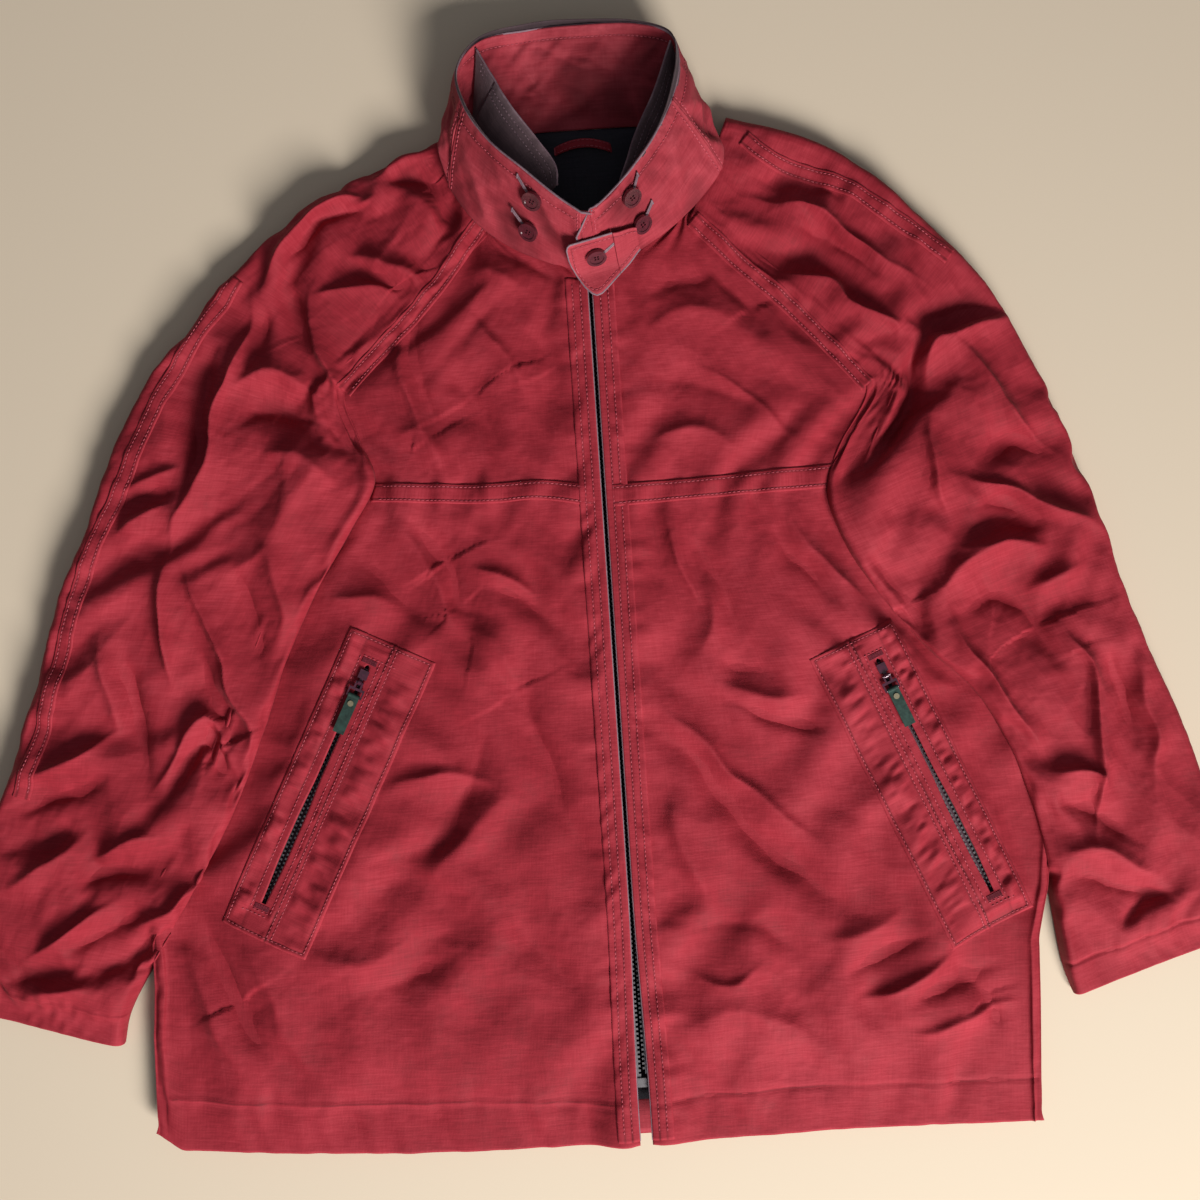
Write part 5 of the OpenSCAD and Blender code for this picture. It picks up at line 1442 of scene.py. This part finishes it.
# Dark storm cloth that shows behind the red edge round the back
s = np.linspace(2.2, 13.6, 260)
v = np.linspace(0.975, 1.0, 7)
behind, n = collar_surface(s, v)
rise = (stations(COLLAR_EDGE, s) - stations(COLLAR_FOOT, s))
rise /= np.linalg.norm(rise, axis=1, keepdims=True)
peep = 5.0 * smooth(2.2, 5.0, s) * smooth(0, 2.4, 13.6 - s) * (0.8 + 0.5 * noise2(s * 10, s * 0, 22, 190))
behind = behind - n[:, None] * 1.1 + rise[:, None] * (peep[:, None] * smooth(0.975, 1, v)[None, :])[..., None]
run = arc(behind[:, -1])
weave = np.dstack(np.broadcast_arrays(run[:, None], v[None, :] * 60, 0 * v[None, :]))
# Painted shade: the dark cloth is darkened further below its top rim, where it tucks behind the collar edge.
wear = 0 * run[:, None] - 0.7 + 0.7 * smooth(0.993, 1.0, v)[None, :]
ob = two_faced("storm_collar_back_edge", behind + n[:, None] * 0.4, behind - n[:, None] * 0.4, "storm_cloth", wear, weave)

# Front end of the left side, lapping over the opening under the tab
w = np.linspace(0, 1, 30)
v = np.linspace(0.06, 1, 60)
edge_v = 1.0 - 0.52 * np.clip(w - 0.36, 0, 1)
along = np.array([-math.cos(math.radians(12)), -math.sin(math.radians(12)), 0])
start, n = collar_surface(np.array([15.55]), v)
flap = np.zeros((30, 60, 3))
for k in range(30):
    col, n = collar_surface(np.array([15.55]), v * edge_v[k])
    flap[k] = col[0] + n[0] * (2.2 * smooth(0, 0.3, w[k]) - 1.0) + along * 21 * w[k]
face = normals(flap)
face *= np.sign((face * n[0]).sum(axis=2, keepdims=True))
rim_d = np.minimum((1 - w)[:, None] * 21, (edge_v[:, None] - v[None, :] * edge_v[:, None]) * 62)
puff = 0.3 * smooth(0, 2, rim_d) - 0.3 * np.exp(-((rim_d - 3.6) / 0.9) ** 2) + 0.35 * noise2(w[:, None] * 21, v[None, :] * 60, 11, 77, 2)
outer, inner = flap + face * (0.5 + puff * smooth(0, 0.2, w)[:, None])[..., None], flap - face * 0.7
# Painted shade: darker along the stitch line 3.6 mm in from the rim; the paler rim is wear.
wear = 0.9 * np.exp(-(rim_d / 2.2) ** 2) - 0.5 * np.exp(-((rim_d - 3.6) / 0.8) ** 2)
weave = np.dstack(np.broadcast_arrays(w[:, None] * 21, v[None, :] * 62, 0 * rim_d))
ob = two_faced("collar_left_flap", outer, inner, "red_faded", np.clip(wear, -1, 1), weave)
tubes("collar_left_flap_piping", [np.vstack([flap[:, -1], flap[-1, ::-1][1:]])], 0.85, "mauve_edge")
under_flap = np.zeros((12, 40, 3))
low_v = np.linspace(0.2, 0.995, 40)
for k in range(12):
    col, n = collar_surface(np.array([0.15]), low_v)
    under_flap[k] = col[0] - n[0] * 0.9 + np.array([math.cos(math.radians(8)), -math.sin(math.radians(8)), 0]) * k * 1.15
face = normals(under_flap)
ob = two_faced("collar_right_end", under_flap + face * 0.6, under_flap - face * 0.6, "red_faded", np.zeros((12, 40)),
               under_flap * 1.0)
path = np.array([[np.interp(3.6, rim_d[k, ::-1], outer[k, ::-1, c]) for c in range(3)] for k in range(0, 25)])
stitches("collar_left", path, rise=0.15)

for side in (-1, 1):
    word = WORD[side]
    foot, edge = STORM[side]
    s = np.linspace(0, 4, 110)
    f, e = stations(foot, s), stations(edge, s)
    v = np.linspace(0, 1, 56)
    along = np.gradient(f, axis=0)
    n = np.cross(e - f, along)
    n /= np.linalg.norm(n, axis=1, keepdims=True)
    n *= np.sign(n[:, 2:])
    sag = 4 * v * (1 - v)
    base = f[:, None] + (e - f)[:, None] * v[None, :, None]
    along_mm = arc((f + e) / 2)
    high = np.linalg.norm(e - f, axis=1)
    from_edge = (1 - v)[None, :] * high[:, None]
    fold = 1.8 * noise2(along_mm[:, None] + from_edge * 0.5, from_edge * 0.5, 24, 180 + side) + 0.7 * noise2(
        along_mm[:, None] - from_edge * 0.6, from_edge * 0.6, 11, 184 + side)
    comb = 0.3 * noise2(along_mm[:, None], from_edge * 0.1, 6, 188 + side) * np.exp(-((from_edge - 3) / 4) ** 2)
    shape = smooth(0, 0.3, v)[None, :] * smooth(0, 5, along_mm)[:, None] * smooth(0, 4, along_mm[-1] - along_mm)[:, None]
    disp = (fold * shape + comb - 0.3 * np.exp(-((from_edge - 5) / 0.9) ** 2) - 0.3 * np.exp(-((from_edge - 9.5) / 0.9) ** 2))
    outer = base + n[:, None] * (disp + 0.8)[..., None]
    inner = base + n[:, None] * (disp - 0.8)[..., None]
    wear = 0.8 * np.exp(-(from_edge / 3) ** 2) + 0.35 * np.clip(noise2(along_mm[:, None], from_edge, 30, 190 + side), 0, 1)
    weave = np.dstack(np.broadcast_arrays(along_mm[:, None], from_edge, 0 * from_edge + 9))
    ob = two_faced(f"storm_collar_{word}_cloth", outer, inner, "storm_cloth", np.clip(wear, 0, 1), weave)
    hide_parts(f"storm_collar_{word}")
    for depth in (5, 9.5):
        line = np.array([[np.interp(depth, from_edge[k, ::-1], outer[k, ::-1, c]) for c in range(3)] for k in range(len(s))])
        stitches(f"storm_{word}", line[3:-3], material="thread_mauve", rise=0.15)
    tubes(f"storm_collar_{word}_edge", [np.vstack([outer[:, -1] - n * 0.8])], 0.85, "mauve_edge")

# Buttonholes: each runs outward from its button
for s0, way in ((1.6, 1), (14.4, -1)):
    for v0 in (0.38, 0.78):
        seq = s0 + way * np.linspace(0.12, 0.50, 24)
        rise_v = np.linspace(v0 + 0.02, v0 + 0.13, 24)
        pts = np.array([collar_surface(np.array([a]), np.array([b]))[0][0, 0] for a, b in zip(seq, rise_v)])
        _, n = collar_surface(seq, np.array([v0]))
        up = stations(COLLAR_EDGE, seq) - stations(COLLAR_FOOT, seq)
        up /= np.linalg.norm(up, axis=1, keepdims=True)
        for off in (-0.75, 0.75):
            stitches("buttonholes", pts + n * 0.75 + up * off, pitch=0.6, length=1.2, radius=0.62, rise=0.25,
                     material="thread_mauve")
        stitches("buttonholes", np.array([pts[-1] + n[-1] * 0.8 - up[-1] * 2, pts[-1] + n[-1] * 0.8 + up[-1] * 2]), pitch=0.7,
                 length=1.4, radius=0.7, rise=0.3, material="thread_mauve")

TAB_AT = np.array([ZIP_X + 14, 239, 24.6])
LEAN, TURN = math.radians(60), math.radians(12)


def tab_place(u, s, n):
    """Point of the collar tab's frame: across, up its slope and out of it."""
    q = s * math.cos(LEAN) - n * math.sin(LEAN)
    return np.stack(np.broadcast_arrays(TAB_AT[0] + u * math.cos(TURN) - q * math.sin(TURN),
                                        TAB_AT[1] + u * math.sin(TURN) + q * math.cos(TURN),
                                        TAB_AT[2] + s * math.sin(LEAN) + n * math.cos(LEAN)), -1)


def tab_bend(p, lift=0.0):
    """Slope and height in the tab's frame for distances p up the cloth: flat above, bending outward at its foot."""
    q = np.linspace(16, -14, 121)
    turn = math.radians(58) * smooth(0, 15, 16 - q)
    ds = np.r_[0, np.cumsum(-0.25 * np.cos(turn[1:]))]
    dn = np.r_[0, np.cumsum(0.25 * np.sin(turn[1:]))]
    s = np.where(p >= 16, p, 16 + np.interp(-p, -q, ds))
    n = np.where(p >= 16, 4.8, 4.8 + np.interp(-p, -q, dn))
    a = np.where(p >= 16, 0, np.interp(-p, -q, turn))
    return s + lift * np.sin(a), n + lift * np.cos(a)


def tab_edges(u):
    """Lower and upper edge of the tab over its length."""
    low = np.interp(u, [-27, -26, -23.5, -20, -16, -13, -9, -3, 8, 27], [26, 18, 8, -1, -7, -9, -8.5, -5, 2, 13])
    high = np.interp(u, [-27, -26, -24, 8, 27], [36, 39, 40.5, 41, 34])
    return low, high


def tab_piece(name, u, ease, seed, body):
    low, high = tab_edges(u)
    v = np.linspace(0, 1, 56)
    p = low[:, None] + (high - low)[:, None] * v[None, :]
    uu = u[:, None] + 0 * p
    rim_d = np.minimum(np.minimum(p - low[:, None], high[:, None] - p), uu + 27.5)
    puff = 0.45 * smooth(0, 2, rim_d) - 0.4 * np.exp(-((rim_d - 3.6) / 0.9) ** 2)
    puff = puff + np.minimum(0.4 * noise2(uu, p, 9, seed, 2), 0.3) * smooth(0, 3, rim_d)
    back = ease[:, None] * smooth(4, 18, p)
    faces = []
    for lift in (0.5 + puff * 0.8, -0.7 + 0 * puff):
        s, n = tab_bend(p, lift)
        faces.append(tab_place(uu, s, n - back))
    # Painted shade: darker along the stitch line 3.6 mm in from the rim; the paler rim is wear.
    wear = 0.15 + 0.85 * np.exp(-(rim_d / 2.2) ** 2) - 0.7 * np.exp(-((rim_d - 3.6) / 0.7) ** 2)
    ob = two_faced(name, faces[0], faces[1], "red_faded", np.clip(wear, -1, 1), np.dstack([uu, p, 0 * p]), body=body)
    return ob, faces[0], faces[1], low, high


u = np.linspace(-27, 8, 54)
ob, outer, inner, low, high = tab_piece("collar_tab_cloth", u, 0 * u, 201, "collar_tab_body")
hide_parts("collar_tab")
border = np.vstack([outer[::-1, 0], outer[0, 1:-1], outer[:, -1]]) * 0.5 + np.vstack([inner[::-1, 0], inner[0, 1:-1], inner[:, -1]]) * 0.5
tubes("collar_tab_piping", [border], 0.8, "mauve_edge", body="collar_tab_body")
edge_line = [(a, b + 3.6) for a, b in zip(u[::-1], low[::-1]) if a > -19] + [(-22.6, 12), (-23.6, 22), (-23.4, 32)] + [
    (a, b - 3.6) for a, b in zip(u, high) if a > -20]
path = spline(edge_line, step=0.8)
stitches("collar_tab", tab_place(path[:, 0], *tab_bend(path[:, 1], 0.72)), body="collar_tab_body", rise=0.15)
for off in (-0.8, 0.8):
    a = np.linspace(1.5, 9.5, 20) - 1.5
    stitches("tab_buttonhole", tab_place(a, 25 + a * 0.75 + off, 4.8 + 1.0), pitch=0.6, length=1.2, radius=0.62, rise=0.2,
             material="thread_mauve", body="collar_tab_body")

# Root of the tab, sewn to the left side of the collar
u = np.linspace(8.3, 27, 28)
ob, outer, inner, low, high = tab_piece("collar_tab_root", u, 5.2 * smooth(8, 26, u), 203, "jacket")
border = [(outer[:, k] + inner[:, k]) / 2 for k in (0, -1)]
tubes("collar_tab_root_piping", border[:1], 0.8, "mauve_edge")
for at, ease in ((low + 3.6, smooth(4, 18, low + 3.6)), (high - 3.6, 1)):
    s_at, n_at = tab_bend(at, 0.75)
    stitches("collar_left", tab_place(u, s_at, n_at - 5.2 * smooth(8, 26, u) * ease), rise=0.15)

# Hanger loop at the back of the neck
s = np.linspace(0, 1, 70)
w = np.linspace(-3.4, 3.4, 9)
arch_z = 4.6 + 5.6 * np.sin(math.pi * s) ** 0.6
x = 3 + 44 * s
yc = 335.5 + 4.0 * np.sin(math.pi * s)
top = np.dstack([x[:, None] + 0 * w, yc[:, None] + w[None, :], arch_z[:, None] + 0.9 - 0.5 * (np.abs(w) > 3)[None, :] + 0 * x[:, None]])
under = top.copy()
under[..., 2] = arch_z[:, None] - 0.5
ob = two_faced("hanger_loop_strap", top, under, "red_cotton", 0.3 + 0.5 * (np.abs(w) > 2.5)[None, :] + 0 * top[..., 0],
               np.dstack([x[:, None] + 0 * w, w[None, :] + 0 * x[:, None], 0 * top[..., 0]]))
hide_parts("hanger_loop")
for off in (-2.2, 2.2):
    stitches("hanger", np.stack([x, yc + off, arch_z + 0.95], 1), rise=0.1)
for end in (4, 45):
    for k in np.linspace(-0.9, 0.9, 4):
        stitches("hanger", np.array([[end + k, 335.5 - 3, 5.9], [end + k, 335.5 + 3, 5.9]]), pitch=1.0, length=1.6, radius=0.4)

make_stitches()

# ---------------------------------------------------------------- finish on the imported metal, buttons and green tabs

CAD_FINISH = {p["node"]: p["material_slot"] for p in frame["record"]["subparts"]}
for name, node in frame["nodes"].items():
    if node.hide_render:
        continue
    for k, old in enumerate(node.data.materials):
        node.data.materials[k] = MATERIALS[CAD_FINISH[name]]

# ---------------------------------------------------------------- floor, light, camera

PHI = math.radians(3.8)
CAM_H = 1.15
cam = bpy.data.objects.new("camera", bpy.data.cameras.new("camera"))
bpy.context.scene.collection.objects.link(cam)
cam.location = (0.015, -0.0094, CAM_H)
cam.rotation_euler = (0, 0, -PHI)
cam.data.sensor_width = 36
cam.data.lens = 18 / (0.462 / CAM_H)
bpy.context.scene.camera = cam

me = bpy.data.meshes.new("floor")
me.from_pydata([(-6, -6, 0), (6, -6, 0), (6, 6, 0), (-6, 6, 0)], [], [(0, 1, 2, 3)])
floor = bpy.data.objects.new("floor", me)
bpy.context.scene.collection.objects.link(floor)
fm = bpy.data.materials.new("floor_mat")
fm.use_nodes = True
fm.node_tree.nodes["Principled BSDF"].inputs["Base Color"].default_value = (0.62, 0.52, 0.40, 1)
fm.node_tree.nodes["Principled BSDF"].inputs["Roughness"].default_value = 0.85
me.materials.append(fm)


def area_light(name, where, size, watts, colour, aim=(0, 0, 0), beam=180):
    data = bpy.data.lights.new(name, "AREA")
    data.size = size
    data.spread = math.radians(beam)
    data.energy = watts
    data.color = colour
    ob = bpy.data.objects.new(name, data)
    ob.location = where
    ob.rotation_euler = (Vector(aim) - Vector(where)).to_track_quat("-Z", "Y").to_euler()
    bpy.context.scene.collection.objects.link(ob)


area_light("window", (1.15, -2.5, 1.75), 1.3, 50, (1.0, 0.98, 0.95), aim=(0.0, -0.1, 0), beam=90)
area_light("fill", (0.1, -0.5, 2.4), 2.5, 3, (0.92, 0.96, 1.0))
world = bpy.data.worlds.new("world")
world.use_nodes = True
world.node_tree.nodes["Background"].inputs[0].default_value = (0.92, 0.94, 1.0, 1)
world.node_tree.nodes["Background"].inputs[1].default_value = 0.15
bpy.context.scene.world = world
bpy.context.scene.view_settings.view_transform = "Standard"
